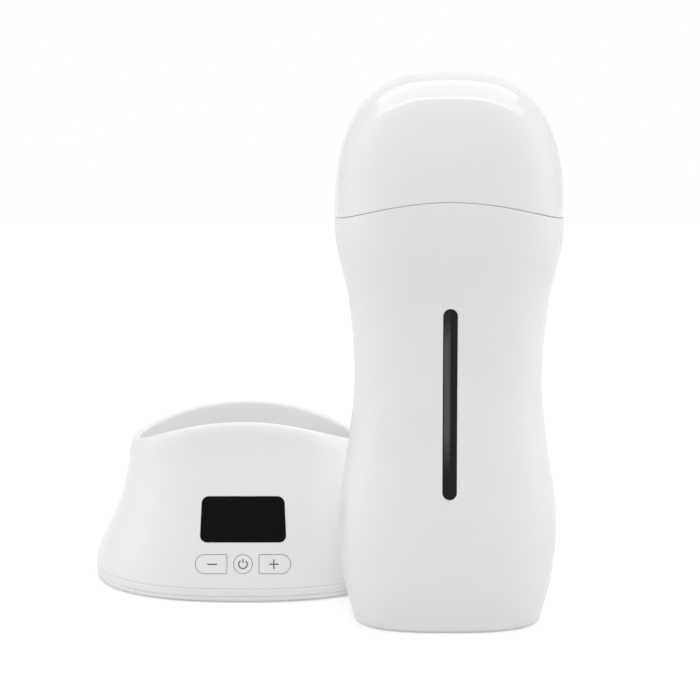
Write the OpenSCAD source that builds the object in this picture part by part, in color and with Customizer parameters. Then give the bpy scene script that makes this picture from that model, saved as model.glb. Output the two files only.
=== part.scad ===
// Roll on wax heater: a hand-held heater for wax cartridges, with its cap and a cartridge in it,
// and the dock that powers it and sets its temperature.
// Millimetres, +Z up. The display and the window face -Y. The origin lies on the table, in the
// middle of the floor area that the set covers, with the heater in front of the dock.

/* [Placing] */
// How far the heater's left side stands past the dock's right side
side_overlap = 22.6; // [0:0.1:24]
// How far the heater's back stands past the dock's front
back_overlap = 13.9; // [0:0.1:16]

/* [Heater outline] */
// Overall height of the heater with its cap
heater_h = 195; // [190:1:220]
// Width at the foot
foot_w = 66; // [63:0.5:72]
// Depth at the foot
foot_d = 47; // [44:0.5:51]
// Width at the hip, the widest level of the lower half
hip_w = 77.4; // [72:0.2:86]
// Depth at the hip
hip_d = 55; // [52:0.5:62]
// Level of the hip
hip_z = 38.5; // [32:0.5:42]
// Width at the waist, where the hand holds it
waist_w = 66.2; // [65:0.2:72]
// Depth at the waist
waist_d = 49; // [48:0.5:54]
// Level of the waist
waist_z = 89; // [82:1:98]
// Width at the shoulder, just under the cap
shoulder_w = 80.2; // [76:0.2:88]
// Depth at the shoulder
shoulder_d = 57; // [54:0.5:64]
// Level of the shoulder
shoulder_z = 142; // [138:1:145]
// Squareness of the cross section, where 2 is an ellipse
section_power = 2.8; // [2.5:0.1:3.4]
// Rounding of the bottom edge
foot_round = 1.4; // [0.8:0.1:1.8]
// Wall of the two shells
shell_t = 2.2; // [1.6:0.1:2.6]

/* [Cap] */
// Level of the cap's edge at the two sides
seam_z = 145.7; // [144:0.1:149]
// How much higher the cap's edge is at the front and back
seam_rise = 8.6; // [4:0.1:11]
// Width of the line between the cap and the shells
seam_gap = 0.3; // [0.2:0.05:0.6]
// Wall of the cap
cap_t = 2; // [1.4:0.1:2.4]
// Squareness of the dome seen from the front
dome_power_w = 2.8; // [2.4:0.05:3.1]
// Squareness of the dome seen from the side
dome_power_d = 3; // [2.5:0.1:3.4]

/* [Window] */
// Width of the window slot
window_w = 5; // [4:0.1:7]
// Length of the window slot
window_l = 67.6; // [50:0.2:76]
// Level of the window's middle
window_z = 83; // [78:1:88]
// Thickness of the window lens
window_t = 1.4; // [1:0.1:1.8]

/* [Cartridge] */
// Width of the cartridge's tank
tank_w = 52; // [48:0.5:53]
// Depth of the tank
tank_d = 34; // [30:0.5:35]
// Corner radius of the tank
tank_r = 12; // [10:0.5:14]
// Wall of the tank
tank_t = 1.5; // [1:0.1:2]
// Height of the wax in the tank
wax_h = 95; // [40:1:110]
// Radius of the roller, as a share of the room between the deck and the cap
roller_share = 0.2; // [0.17:0.005:0.23]
// Length of the roller
roller_l = 40; // [34:0.5:42]
// Radius of the roller's axle ends
axle_r = 1.5; // [1.2:0.1:2]

/* [Heating chamber] */
// Level of the chamber's underside
chamber_z = 20; // [19:0.5:24]
// Wall of the aluminium chamber
chamber_t = 1.5; // [1:0.1:1.8]
// Thickness of the heating mats
mat_t = 1.2; // [0.8:0.1:1.6]

/* [Dock outline] */
// Width of the dock at its base
dock_w = 112; // [107:0.2:126]
// Depth of the dock at its base
dock_d = 92.6; // [88:0.2:106]
// Level up to which the front leans back
lean_top = 54; // [50:1:58]
// Level of the rim at its two sides
rim_z = 51.8; // [50:0.2:56]
// How much the rim's arch rises over the sides
rim_rise = 9.1; // [4:0.1:11]
// How much the rim falls from front to back
rim_fall = 5.1; // [0:0.1:6]
// Thickness of the rim
rim_t = 3; // [2.4:0.1:3.6]
// Wall of the dock's skirt
skirt_t = 2.2; // [1.6:0.1:2.4]
// Level of the line between the dock shell and the base plate
base_top = 4.9; // [4.4:0.1:5.4]
// Thickness of the base plate's floor
base_t = 2; // [1.6:0.1:2.4]

/* [Pocket] */
// Level of the pocket's floor
pocket_z = 10; // [9.6:0.2:13]
// Gap between the docked heater and the pocket
pocket_gap = 1.1; // [0.6:0.1:1.5]
// Wall under and around the pocket
pocket_t = 1.6; // [1.2:0.1:2]

/* [Front panel] */
// Width of the display lens at its middle
display_w = 30.7; // [24:0.1:34]
// Height of the display lens, along the slope
display_h = 16.8; // [12:0.2:17.4]
// How much wider the lens is at its lower edge than at its upper edge
display_taper = 1.5; // [0:0.1:2]
// Level of the display's middle
display_z = 29.3; // [28.5:0.1:31]
// Corner radius of the display lens
display_r = 2.6; // [1:0.1:4]
// Thickness of the display lens
display_t = 1.2; // [0.8:0.1:1.6]
// Height of the minus and plus buttons, along the slope
button_h = 7.4; // [6:0.2:8]
// Radius of the power button
power_r = 3.55; // [3:0.05:4]
// Length of the minus and plus buttons
button_l = 12; // [9:0.5:14]
// Level of the buttons' middle
button_z = 13.6; // [13:0.1:14.5]
// Gap between the power button and the two beside it
button_space = 1.9; // [1.2:0.1:4]
// Line round each button
button_gap = 0.3; // [0.2:0.05:0.5]
// How far a button travels
button_travel = 0.5; // [0.3:0.1:0.6]

/* [Contacts] */
// Distance between the two sprung contact pins
contact_space = 20; // [16:1:24]
// Radius of a contact pin
contact_r = 1.5; // [1:0.1:1.8]

/* [Hidden] */
$fn = 48;

ring_points = 48;                // points round a lofted shell
fit = 0.2;                       // gap between pieces of one body that face each other
slide_gap = 0.3;                 // gap between pieces that lift or travel past each other
thread_gap = 0.05;               // gap between a screw or axle and its hole
face_sink = 0.05;                // lenses and buttons lie this far inside the face around them
dock_flare_power = 2.4;          // squareness of the dock at its base

// ---- shared formulas ----

function mix(a, b, t) = a + (b - a)*t;

// Point at the angle t on a superellipse of half sizes a and b and squareness n
function oval(a, b, n, t) =
    let (c = cos(t), s = sin(t), k = pow(pow(abs(c), n) + pow(abs(s), n), -1/n)) [a*c*k, b*s*k];

function oval_ring(a, b, n, count = 96) = [for (i = [0:count - 1]) oval(a, b, n, 360*i/count)];

// Smooth curve through stations of [level, value], level with the last one at its end
function slope(s, i) = i == 0 ? (s[1][1] - s[0][1])/(s[1][0] - s[0][0])
    : i == len(s) - 1 ? 0 : (s[i + 1][1] - s[i - 1][1])/(s[i + 1][0] - s[i - 1][0]);
function span(s, z, i = 0) = i >= len(s) - 2 || z < s[i + 1][0] ? i : span(s, z, i + 1);
function curve(s, z) =
    let (i = span(s, z), h = s[i + 1][0] - s[i][0], t = min(1, max(0, (z - s[i][0])/h)))
    (2*t^3 - 3*t^2 + 1)*s[i][1] + (t^3 - 2*t^2 + t)*h*slope(s, i)
    + (3*t^2 - 2*t^3)*s[i + 1][1] + (t^3 - t^2)*h*slope(s, i + 1);

// Closed surface over rings of equal count, with a middle point closing each end
module loft(first_tip, rings, last_tip) {
    n = len(rings[0]);
    last = len(rings) - 1;
    points = concat([first_tip], [for (r = rings, p = r) p], [last_tip]);
    function at(i, j) = 1 + i*n + j%n;
    polyhedron(points, concat(
        [for (j = [0:n - 1]) [0, at(0, j), at(0, j + 1)]],
        [for (i = [0:last - 1], j = [0:n - 1]) [at(i, j), at(i + 1, j), at(i + 1, j + 1)]],
        [for (i = [0:last - 1], j = [0:n - 1]) [at(i, j), at(i + 1, j + 1), at(i, j + 1)]],
        [for (j = [0:n - 1]) [1 + (last + 1)*n, at(last, j + 1), at(last, j)]]), convexity = 6);
}

// Closed wall between an outer and an inner sheet, each a list of rows of equal count
module wall(outer, inner) {
    rows = len(outer);
    n = len(outer[0]);
    points = concat([for (r = outer, p = r) p], [for (r = inner, p = r) p]);
    function o(i, j) = i*n + j;
    function q(i, j) = (rows + i)*n + j;
    up = [0:rows - 2];
    along = [0:n - 2];
    top = rows - 1;
    end = n - 1;
    polyhedron(points, concat(
        [for (i = up, j = along) [o(i, j), o(i + 1, j), o(i + 1, j + 1)]],
        [for (i = up, j = along) [o(i, j), o(i + 1, j + 1), o(i, j + 1)]],
        [for (i = up, j = along) [q(i, j), q(i + 1, j + 1), q(i + 1, j)]],
        [for (i = up, j = along) [q(i, j), q(i, j + 1), q(i + 1, j + 1)]],
        [for (j = along) [o(0, j), o(0, j + 1), q(0, j + 1)]],
        [for (j = along) [o(0, j), q(0, j + 1), q(0, j)]],
        [for (j = along) [o(top, j), q(top, j + 1), o(top, j + 1)]],
        [for (j = along) [o(top, j), q(top, j), q(top, j + 1)]],
        [for (i = up) [o(i, 0), q(i, 0), q(i + 1, 0)]],
        [for (i = up) [o(i, 0), q(i + 1, 0), o(i + 1, 0)]],
        [for (i = up) [o(i, end), q(i + 1, end), q(i, end)]],
        [for (i = up) [o(i, end), o(i + 1, end), q(i + 1, end)]]), convexity = 6);
}

// Flat shapes
module rounded(w, h, r) {
    square([w - 2*r, h], center = true);
    square([w, h - 2*r], center = true);
    for (x = [-1, 1], y = [-1, 1]) translate([x*(w/2 - r), y*(h/2 - r)]) circle(r);
}

// Rounded rectangle that is wider at its lower edge than at its upper edge by taper
module rounded_taper(w, h, r, taper) {
    corner = [for (a = [0:9:90]) [r*cos(a), r*sin(a)]];
    places = [[w/2 - r, h/2 - r, 0], [-w/2 + r, h/2 - r, 90], [-w/2 + r, -h/2 + r, 180],
        [w/2 - r, -h/2 + r, 270]];
    polygon([for (q = places, c = corner) let (
        x = q[0] + c[0]*cos(q[2]) - c[1]*sin(q[2]), y = q[1] + c[0]*sin(q[2]) + c[1]*cos(q[2]))
        [x*(1 - taper*y/(w*h)), y]]);
}

// A bar with the given length over its two round ends
module long_slot(w, h) {
    square([w - h, h], center = true);
    for (x = [-1, 1]) translate([x*(w - h)/2, 0]) circle(h/2);
}

module oval_plate(a, b, n, h) linear_extrude(h) polygon(oval_ring(a, b, n));

module oval_tube(a, b, n, h, t) linear_extrude(h) difference() {
    polygon(oval_ring(a, b, n));
    polygon(oval_ring(a - t, b - t, n));
}

// ---- heater outline ----

// Where the outline's in-between stations lie: share of the way up, share of the change
foot_swell = [0.42, 0.73];
hip_fall = [0.57, 0.7];
shoulder_swell = [0.5, 0.29];

function heater_stations(foot, hip, waist, shoulder) = [
    [0, foot],
    [hip_z*foot_swell[0], mix(foot, hip, foot_swell[1])],
    [hip_z, hip],
    [mix(hip_z, waist_z, hip_fall[0]), mix(hip, waist, hip_fall[1])],
    [waist_z, waist],
    [mix(waist_z, shoulder_z, shoulder_swell[0]), mix(waist, shoulder, shoulder_swell[1])],
    [shoulder_z, shoulder]];
wide_stations = heater_stations(foot_w/2, hip_w/2, waist_w/2, shoulder_w/2);
deep_stations = heater_stations(foot_d/2, hip_d/2, waist_d/2, shoulder_d/2);

cap_roof_share = 1.2;            // the cap's wall is thicker at its top by this factor
cap_inner_top = heater_h - cap_roof_share*cap_t;

// Half width and half depth of the heater at the level z, inset by t, under a dome that ends at top
function dome(z, top, p) =
    pow(max(0, 1 - pow(max(0, z - shoulder_z)/(top - shoulder_z), p)), 1/p);
function heater_half_w(z, t = 0, top = heater_h) = z <= shoulder_z ? curve(wide_stations, z) - t
    : (shoulder_w/2 - t)*dome(z, top, dome_power_w);
function heater_half_d(z, t = 0, top = heater_h) = z <= shoulder_z ? curve(deep_stations, z) - t
    : (shoulder_d/2 - t)*dome(z, top, dome_power_d);
function heater_point(z, a, t = 0, top = heater_h) =
    let (p = oval(heater_half_w(z, t, top), heater_half_d(z, t, top), section_power, a))
    [p[0], p[1], z];

// Level of the line between the cap and the shells, at the angle a
function seam_level(a) =
    seam_z + seam_rise*(1 - pow(oval(1, 1, section_power, a)[0], 2));

// Inset of the rounded bottom edge at the level z
function foot_inset(z) = z >= foot_round ? 0 : foot_round - sqrt(max(0, z*(2*foot_round - z)));

// ---- dock outline ----

pocket_half_w = hip_w/2 + pocket_gap;
pocket_half_d = hip_d/2 + pocket_gap;
neck_half_w = pocket_half_w + rim_t;
neck_half_d = pocket_half_d + rim_t;
// Where the skirt's in-between stations lie: share of the way up, share of the change
skirt_foot = [0.168, 0.05];
skirt_flank = [0.428, 0.514];
skirt_neck = [0.61, 0.777];
skirt_stations = concat(
    [[0, dock_w/2]],
    [for (s = [skirt_foot, skirt_flank, skirt_neck])
        [s[0]*rim_z, mix(dock_w/2, neck_half_w, s[1])]],
    [[rim_z, neck_half_w]]);
lean_soften = 6;                 // half height over which the lean runs out into the neck
lean_slope = (dock_d/2 - neck_half_d)/lean_top;
lean = atan(lean_slope);

function dock_half_w(z) = z < rim_z ? curve(skirt_stations, z) : neck_half_w;
function dock_half_d(z) = neck_half_d + lean_slope*(z < lean_top - lean_soften ? lean_top - z
    : z < lean_top + lean_soften ? pow(lean_top + lean_soften - z, 2)/(4*lean_soften) : 0);
function dock_power(z) = mix(dock_flare_power, section_power, min(1, z/rim_z));
function dock_point(z, a, t = 0) =
    let (p = oval(dock_half_w(z) - t, dock_half_d(z) - t, dock_power(z), a)) [p[0], p[1], z];

// Level of the rim's top at the angle a
function rim_level(a) = let (p = oval(1, 1, section_power, a))
    rim_z + rim_rise*(1 - pow(p[0], 2)) - rim_fall/2*p[1];

// Pocket wall at the level z, moved out by t
function pocket_point(z, a, t = 0) = let (
    h = min(hip_z, max(0, z - pocket_z)),
    p = oval(curve(wide_stations, h) + pocket_gap + t, curve(deep_stations, h) + pocket_gap + t,
        section_power, a))
    [p[0], p[1], z];

// ---- places ----

// The two outlines fix where the pieces stand round the origin
set_w = dock_w + shoulder_w - side_overlap;
set_d = dock_d + shoulder_d - back_overlap;
dock_x = (dock_w - set_w)/2;
dock_y = (set_d - dock_d)/2;
heater_x = (set_w - shoulder_w)/2;
heater_y = (shoulder_d - set_d)/2;

module at_dock() translate([dock_x, dock_y, 0]) children();
module at_heater() translate([heater_x, heater_y, 0]) children();

// Frame on the leaning face at the level z: X across, Y up the slope, Z out of the face
module on_front(z) translate([0, -dock_half_d(z), z]) rotate([90 - lean, 0, 0]) children();
module on_back(z) rotate([0, 0, 180]) on_front(z) children();

// ---- dock ----

foot_pad_r = 5;
foot_pad_h = 1.6;
foot_pad_show = 0.8;             // how far the pads hold the base plate off the table
foot_pad_at = [36, 24];
base_floor_top = foot_pad_show + base_t;
trim_h = 1.4;                    // lowest band of the base plate, set back by trim_inset
trim_inset = 0.5;
groove_h = 0.3;
groove_inset = 1;
base_lip_t = 1.6;
base_lip_gap = 0.4;              // to the skirt's faceted inside
lip_top = base_top + 2.2;        // a lip inside the skirt keeps the base plate in line
post_r = 2.4;
screw_r = 1.4;
screw_l = 6.4;
screw_head_r = 2.6;
screw_head_h = 1.3;
screw_clear = 0.15;              // round a screw and its head
cross_l = 3;                     // cross recess of a screw
cross_w = 0.6;
cross_depth = 0.7;
boss_wall = 1.9;
base_screw_at = [27, 15];
cavity_margin = 1.2;             // least space left between the skirt's inside and the pocket
cavity_start = 20;
cavity_step = 0.5;
roof_under_rim = 6;
roof_round = 1.2;
sink = 0.5;                      // how far a post or boss runs into the piece it stands on

// Level where the space between the skirt and the pocket wall closes, at the angle a
function cavity_top(a, z = cavity_start) =
    let (s = dock_point(z, a, skirt_t), p = pocket_point(z, a, pocket_t))
    z >= rim_level(a) - roof_under_rim || norm([s[0], s[1]]) - norm([p[0], p[1]]) < cavity_margin ? z
    : cavity_top(a, z + cavity_step);

module dock_body() {
    turn = [for (j = [0:ring_points - 1]) 360*j/ring_points];
    bead = rim_t/2;
    skin = [0, 0.05, 0.12, 0.2, 0.3, 0.4, 0.5, 0.6, 0.7, 0.8, 0.9, 1];
    roof = [for (a = turn) cavity_top(a)];
    neck_top = [for (a = turn) rim_level(a) - bead];
    floor_under = pocket_z - pocket_t;
    inner = [0.35, 0.7, 1];
    pocket_out = concat([[for (a = turn) pocket_point(floor_under, a, pocket_t)]],
        [for (u = inner) [for (j = [0:ring_points - 1])
            pocket_point(mix(pocket_z, roof[j] - roof_round, u), turn[j], pocket_t)]]);
    ceiling = [[for (j = [0:ring_points - 1])
        let (p = pocket_point(roof[j], turn[j], pocket_t), s = dock_point(roof[j], turn[j], skirt_t))
        [(p[0] + s[0])/2, (p[1] + s[1])/2, roof[j]]]];
    skirt_in = [for (u = [0.98, 0.8, 0.6, 0.4, 0.2, 0]) [for (j = [0:ring_points - 1])
        dock_point(mix(base_top, roof[j] - roof_round, u), turn[j], skirt_t)]];
    skirt_out = [for (u = skin) [for (j = [0:ring_points - 1])
        dock_point(mix(base_top, neck_top[j], u), turn[j])]];
    rim = [for (b = [30:30:150]) [for (j = [0:ring_points - 1])
        let (p = oval(neck_half_w - bead + bead*cos(b), neck_half_d - bead + bead*cos(b),
            section_power, turn[j])) [p[0], p[1], neck_top[j] + bead*sin(b)]]];
    pocket_in = [for (u = [1, 0.75, 0.5, 0.35, 0.2, 0.08, 0]) [for (j = [0:ring_points - 1])
        pocket_point(mix(pocket_z, neck_top[j], u), turn[j])]];
    loft([0, 0, floor_under], concat(pocket_out, ceiling, skirt_in, skirt_out, rim, pocket_in),
        [0, 0, pocket_z]);
}

inlet_w = 22;
inlet_h = 11.4;
inlet_r = 2;
inlet_z = 15.6;
inlet_sink = 0.7;                // the inlet's face lies this far inside the skirt
inlet_l = 10;
contact_block_w = contact_space + 11;
contact_block_d = 9;
contact_block_r = 2;

module dock_shell() at_dock() color([0.93, 0.93, 0.93]) difference() {
    union() {
        dock_body();
        for (x = [-1, 1], y = [-1, 1]) translate([x*base_screw_at[0], y*base_screw_at[1], base_floor_top])
            cylinder(r = screw_r + boss_wall, h = pocket_z - pocket_t/2 - base_floor_top);
    }
    for (x = [-1, 1], y = [-1, 1]) translate([x*base_screw_at[0], y*base_screw_at[1], base_floor_top - 1])
        cylinder(r = screw_r + thread_gap, h = pocket_z - pocket_t/2 - base_floor_top + 1);
    on_front(display_z) translate([0, 0, -skirt_t*2]) linear_extrude(skirt_t*4)
        rounded_taper(display_w, display_h, display_r, display_taper);
    on_front(button_z) translate([0, 0, -skirt_t*2]) linear_extrude(skirt_t*4) {
        circle(power_r);
        for (s = [-1, 1]) on_side(s) side_button_shape(0);
    }
    on_back(inlet_z) translate([0, 0, -skirt_t*2]) linear_extrude(skirt_t*4)
        rounded(inlet_w + 2*fit, inlet_h + 2*fit, inlet_r + fit);
    translate([0, 0, pocket_z - pocket_t*1.5]) linear_extrude(pocket_t*2)
        rounded(contact_block_w + 2*fit, contact_block_d + 2*fit, contact_block_r + fit);
}

// The side buttons have a round outer end and a square end by the power button
button_corner = 1;
module on_side(s) mirror([s > 0 ? 1 : 0, 0, 0]) children();

module side_button_shape(inset) {
    inner_x = power_r + button_space + inset;
    outer_x = power_r + button_space + button_l - inset;
    h = button_h - 2*inset;
    soft = button_corner - inset;
    translate([-outer_x + h/2, 0]) circle(h/2);
    translate([-outer_x + h/2, -h/2]) square([outer_x - inner_x - h/2 - soft, h]);
    translate([-inner_x - soft, -h/2 + soft]) square([soft, h - 2*soft]);
    for (y = [-1, 1]) translate([-inner_x - soft, y*(h/2 - soft)]) circle(soft);
}

band_low = foot_pad_show + trim_h + groove_h;
module base_plate() at_dock() color([0.9, 0.9, 0.9]) difference() {
    union() {
        translate([0, 0, foot_pad_show]) dock_plate(trim_inset, trim_h);
        translate([0, 0, foot_pad_show + trim_h]) dock_plate(groove_inset, groove_h);
        difference() {
            translate([0, 0, band_low]) dock_plate(0, base_top - fit - band_low);
            translate([0, 0, base_floor_top]) dock_plate(skirt_t, base_top);
        }
        translate([0, 0, base_floor_top]) oval_tube(
            dock_half_w(lip_top) - skirt_t - base_lip_gap,
            dock_half_d(lip_top) - skirt_t - base_lip_gap, dock_flare_power,
            lip_top - base_floor_top, base_lip_t);
        for (a = post_angles) translate([board_at(a)[0], board_at(a)[1], base_floor_top - sink])
            cylinder(r = post_r, h = board_z - base_floor_top + sink);
    }
    for (x = [-1, 1], y = [-1, 1]) {
        translate([x*base_screw_at[0], y*base_screw_at[1], 0]) {
            cylinder(r = screw_r + screw_clear, h = base_floor_top + 1);
            cylinder(r = screw_head_r + screw_clear, h = foot_pad_show + screw_head_h + fit/2);
        }
        translate([x*foot_pad_at[0], y*foot_pad_at[1], 0]) cylinder(r = foot_pad_r + fit, h = foot_pad_h);
    }
}

// Plate with the dock's base outline, inset by t
module dock_plate(t, h) oval_plate(dock_w/2 - t, dock_d/2 - t, dock_flare_power, h);

module feet() at_dock() color([0.16, 0.16, 0.17])
    for (x = [-1, 1], y = [-1, 1]) translate([x*foot_pad_at[0], y*foot_pad_at[1], 0]) {
        cylinder(r = foot_pad_r, h = foot_pad_h);
    }

module base_screws() at_dock() color([0.6, 0.6, 0.62])
    for (x = [-1, 1], y = [-1, 1]) translate([x*base_screw_at[0], y*base_screw_at[1], 0]) difference() {
        union() {
            translate([0, 0, foot_pad_show + fit/2]) cylinder(r = screw_head_r, h = screw_head_h);
            translate([0, 0, foot_pad_show + fit]) cylinder(r = screw_r, h = screw_l);
        }
        translate([0, 0, foot_pad_show + fit/2]) cross_recess();
    }

// Cross in the underside of a screw's head
module cross_recess() for (a = [0, 90]) rotate([0, 0, a])
    translate([-cross_l/2, -cross_w/2, -cross_depth]) cube([cross_l, cross_w, 2*cross_depth]);

// Thin slab that follows the front of the skirt between two levels, from depth t0 to t1 inside it
module front_slab(z0, z1, t0, t1, reach = 30) {
    steps = [for (i = [0:6]) mix(z0, z1, i/6)];
    angles = [for (a = [270 - reach:reach/10:270 + reach + 0.01]) a];
    wall([for (z = steps) [for (a = angles) dock_point(z, a, t0)]],
        [for (z = steps) [for (a = angles) dock_point(z, a, t1)]]);
}

lens_reach = 36;                 // angle on each side that the front slabs span
module display_lens() at_dock() color([0.05, 0.05, 0.05]) intersection() {
    front_slab(display_z - display_h/2 - 1, display_z + display_h/2 + 1, face_sink,
        face_sink + display_t, lens_reach);
    on_front(display_z) linear_extrude(4*display_w, center = true)
        rounded_taper(display_w - 2*fit, display_h - 2*fit, display_r - fit, display_taper);
}

board_depth = 5.8;               // from the face at the buttons' level to the control board
board_t = 1.2;
module_gap = 0.3;
module_edge = [2.5, 1.5];        // the lens reaches past the module by this much, across and up
module_w = display_w - 2*module_edge[0];
module_h = display_h - 2*module_edge[1];
module_r = 1;
module_reach = 25;               // angle at which the curved lens comes nearest to the module

module display_module() at_dock() color([0.12, 0.12, 0.13]) on_front(display_z) {
    sag = dock_half_d(display_z) + dock_point(display_z, 270 + module_reach)[1];
    front = -(display_t + face_sink + module_gap) - sag;
    translate([0, 0, -board_depth]) linear_extrude(board_depth + front)
        rounded(module_w, module_h, module_r);
}

module control_board() at_dock() color([0.1, 0.35, 0.2])
    on_front(button_z) translate([0, 0, -board_depth - board_t]) linear_extrude(board_t)
        translate([0, board_mid]) rounded(board_w, board_h, board_r);
board_w = 44;
board_r = 1.5;
board_edge = 1.2;                // board left below the buttons
board_low = -button_h/2 - board_edge;
board_h = (display_z - button_z)/cos(lean) - board_low + board_edge;
board_mid = board_low + board_h/2;
switch_w = 4.4;
switch_t = 1.6;
switch_r = 0.5;
plunger_r = 1.4;
plunger_play = 0.1;
stem_r = 2;
button_depth = 3;                // from the face to the back of a button
plunger_top = button_depth + button_travel + plunger_play;

module tact_switches() at_dock() color([0.3, 0.3, 0.31]) on_front(button_z)
    for (x = [-1, 0, 1]) translate([x*side_button_x, 0, -board_depth]) {
        linear_extrude(switch_t) rounded(switch_w, switch_w, switch_r);
        cylinder(r = plunger_r, h = board_depth - plunger_top);
    }
side_button_x = power_r + button_space + button_l/2;

// A button is cut from the skirt's own surface, with a guide stem down to its switch
module button_slab() front_slab(button_z - button_h/2 - 1, button_z + button_h/2 + 1, face_sink,
    skirt_t, lens_reach);

module button_stem(x) on_front(button_z) translate([x, 0, -button_depth])
    cylinder(r = stem_r, h = button_depth - skirt_t + sink);

module side_button(s) union() {
    intersection() {
        button_slab();
        on_front(button_z) linear_extrude(4*button_l, center = true)
            on_side(s) side_button_shape(button_gap);
    }
    button_stem(s*side_button_x);
}

module button_minus() at_dock() color([0.92, 0.91, 0.91]) side_button(-1);
module button_plus() at_dock() color([0.92, 0.91, 0.91]) side_button(1);
module button_power() at_dock() color([0.92, 0.91, 0.91]) union() {
    intersection() {
        button_slab();
        on_front(button_z) cylinder(r = power_r - button_gap, h = 4*button_l, center = true);
    }
    button_stem(0);
}

pad_z = 1.4;                     // the contact pads lie this far above the heater's foot
pin_preload = 0.5;               // how far the docked heater presses the pins in
contact_top = pocket_z + pad_z + pin_preload;
contact_flange_r = contact_r + 0.8;
contact_flange_h = 0.8;
contact_tip_h = 0.6*contact_r;
contact_tip_r = 1.25*contact_r;
block_bottom = base_floor_top;
block_top = pocket_z + 0.3;
block_floor_t = 0.8;
block_roof_t = 1.2;
block_flange = 1.5;              // the block's foot is wider than its opening in the pocket's floor
flange_top = block_top - block_roof_t;

module contact_block() at_dock() color([0.2, 0.2, 0.21]) difference() {
    union() {
        translate([0, 0, block_bottom]) linear_extrude(block_top - block_bottom)
            rounded(contact_block_w, contact_block_d, contact_block_r);
        translate([0, 0, block_bottom]) linear_extrude(pocket_z - pocket_t - block_bottom - fit)
            rounded(contact_block_w + 2*block_flange, contact_block_d + 2*block_flange,
                contact_block_r);
    }
    for (s = [-1, 1]) translate([s*contact_space/2, 0, 0]) {
        cylinder(r = contact_r + thread_gap, h = block_top + 1);
        translate([0, 0, block_bottom + block_floor_t]) cylinder(r = contact_flange_r + thread_gap,
            h = flange_top - block_bottom - block_floor_t);
    }
}

module contact_pin(s) at_dock() color([0.85, 0.72, 0.4]) translate([s*contact_space/2, 0, 0]) {
    translate([0, 0, flange_top - contact_flange_h]) {
        cylinder(r = contact_flange_r, h = contact_flange_h - thread_gap);
        cylinder(r = contact_r, h = contact_top - flange_top + contact_flange_h - contact_tip_h);
    }
    translate([0, 0, contact_top - contact_tip_h]) intersection() {
        cylinder(r = contact_r, h = contact_tip_h);
        translate([0, 0, contact_tip_h - contact_tip_r]) sphere(contact_tip_r);
    }
}
module contact_pin_left() contact_pin(-1);
module contact_pin_right() contact_pin(1);

spring_low = block_bottom + block_floor_t + thread_gap;
spring_high = flange_top - contact_flange_h - thread_gap;
spring_wire = 0.25;
spring_turns = 3;
spring_facets = 12;              // straight pieces in each turn
spring_play = 0.15;              // between the spring's outside and the flange's edge

// Coil spring between the block's floor and the pin's flange
module pin_spring(s) at_dock() color([0.7, 0.7, 0.72]) translate([s*contact_space/2, 0, 0]) {
    steps = spring_turns*spring_facets;
    r = contact_flange_r - spring_wire - spring_play;
    low = spring_low + spring_wire;
    rise = spring_high - spring_low - 2*spring_wire;
    loft([r, 0, low], [for (i = [0:steps]) let (a = 360*spring_turns*i/steps, z = low + rise*i/steps)
        [for (b = [0:60:300]) [(r + spring_wire*cos(b))*cos(a), (r + spring_wire*cos(b))*sin(a),
            z + spring_wire*sin(b)]]], [r, 0, low + rise]);
}
module pin_spring_left() pin_spring(-1);
module pin_spring_right() pin_spring(1);

board_z = 5;
post_angles = [54:24:126];
inlet_pin_r = 1.2;
inlet_pin_space = 8.6;
inlet_cavity_h = 8.4;
inlet_cavity_l = 8.8;
inlet_pin_back = 1.5;            // the pins end this far inside the socket's mouth

module power_inlet() at_dock() color([0.14, 0.14, 0.15]) on_back(inlet_z) difference() {
    translate([0, 0, -inlet_sink - inlet_l]) linear_extrude(inlet_l) rounded(inlet_w, inlet_h, inlet_r);
    translate([0, 0, -inlet_sink - inlet_cavity_l]) linear_extrude(inlet_cavity_l + 1)
        long_slot(inlet_pin_space + inlet_cavity_h, inlet_cavity_h);
}

module inlet_pins() at_dock() color([0.75, 0.75, 0.77]) on_back(inlet_z)
    for (s = [-1, 1]) translate([s*inlet_pin_space/2, 0, -inlet_sink - inlet_cavity_l])
        cylinder(r = inlet_pin_r, h = inlet_cavity_l - inlet_pin_back);

// Crescent board behind the pocket, on four posts of the base plate
board_half = 3.9;                // half the board's width
board_end = 44;                  // angle at which the crescent ends
board_step = 4;
capacitor_at = 56;
capacitor_r = 3;
capacitor_h = 11;
relay_at = 125;
relay_size = [5, 8, 8];
relay_corner = 0.6;
fuse_at = 47;
fuse_size = [4, 3, 3.6];
fuse_corner = 0.4;
part_level = board_z + capacitor_h;
board_power = (dock_flare_power + section_power)/2;
board_mid_w = (dock_half_w(part_level) - skirt_t + pocket_point(part_level, 0, pocket_t)[0])/2;
board_mid_d = (dock_half_d(part_level) - skirt_t + pocket_point(part_level, 90, pocket_t)[1])/2;
// Point on the board's middle line at the angle a, moved out by t
function board_at(a, t = 0) = oval(board_mid_w + t, board_mid_d + t, board_power, a);

module power_board() at_dock() color([0.1, 0.35, 0.2]) translate([0, 0, board_z])
    linear_extrude(board_t) polygon(concat(
        [for (a = [board_end:board_step:180 - board_end]) board_at(a, board_half)],
        [for (a = [180 - board_end:-board_step:board_end]) board_at(a, -board_half)]));

// Smoothing capacitor, relay and fuse
module power_parts() at_dock() color([0.25, 0.3, 0.5]) translate([0, 0, board_z + board_t]) {
    translate(board_at(capacitor_at)) cylinder(r = capacitor_r, h = capacitor_h);
    board_box(relay_at, relay_size, relay_corner);
    board_box(fuse_at, fuse_size, fuse_corner);
}

module board_box(a, size, r) translate(board_at(a)) rotate([0, 0, a]) linear_extrude(size[2])
    rounded(size[0], size[1], r);

// ---- heater ----

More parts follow.
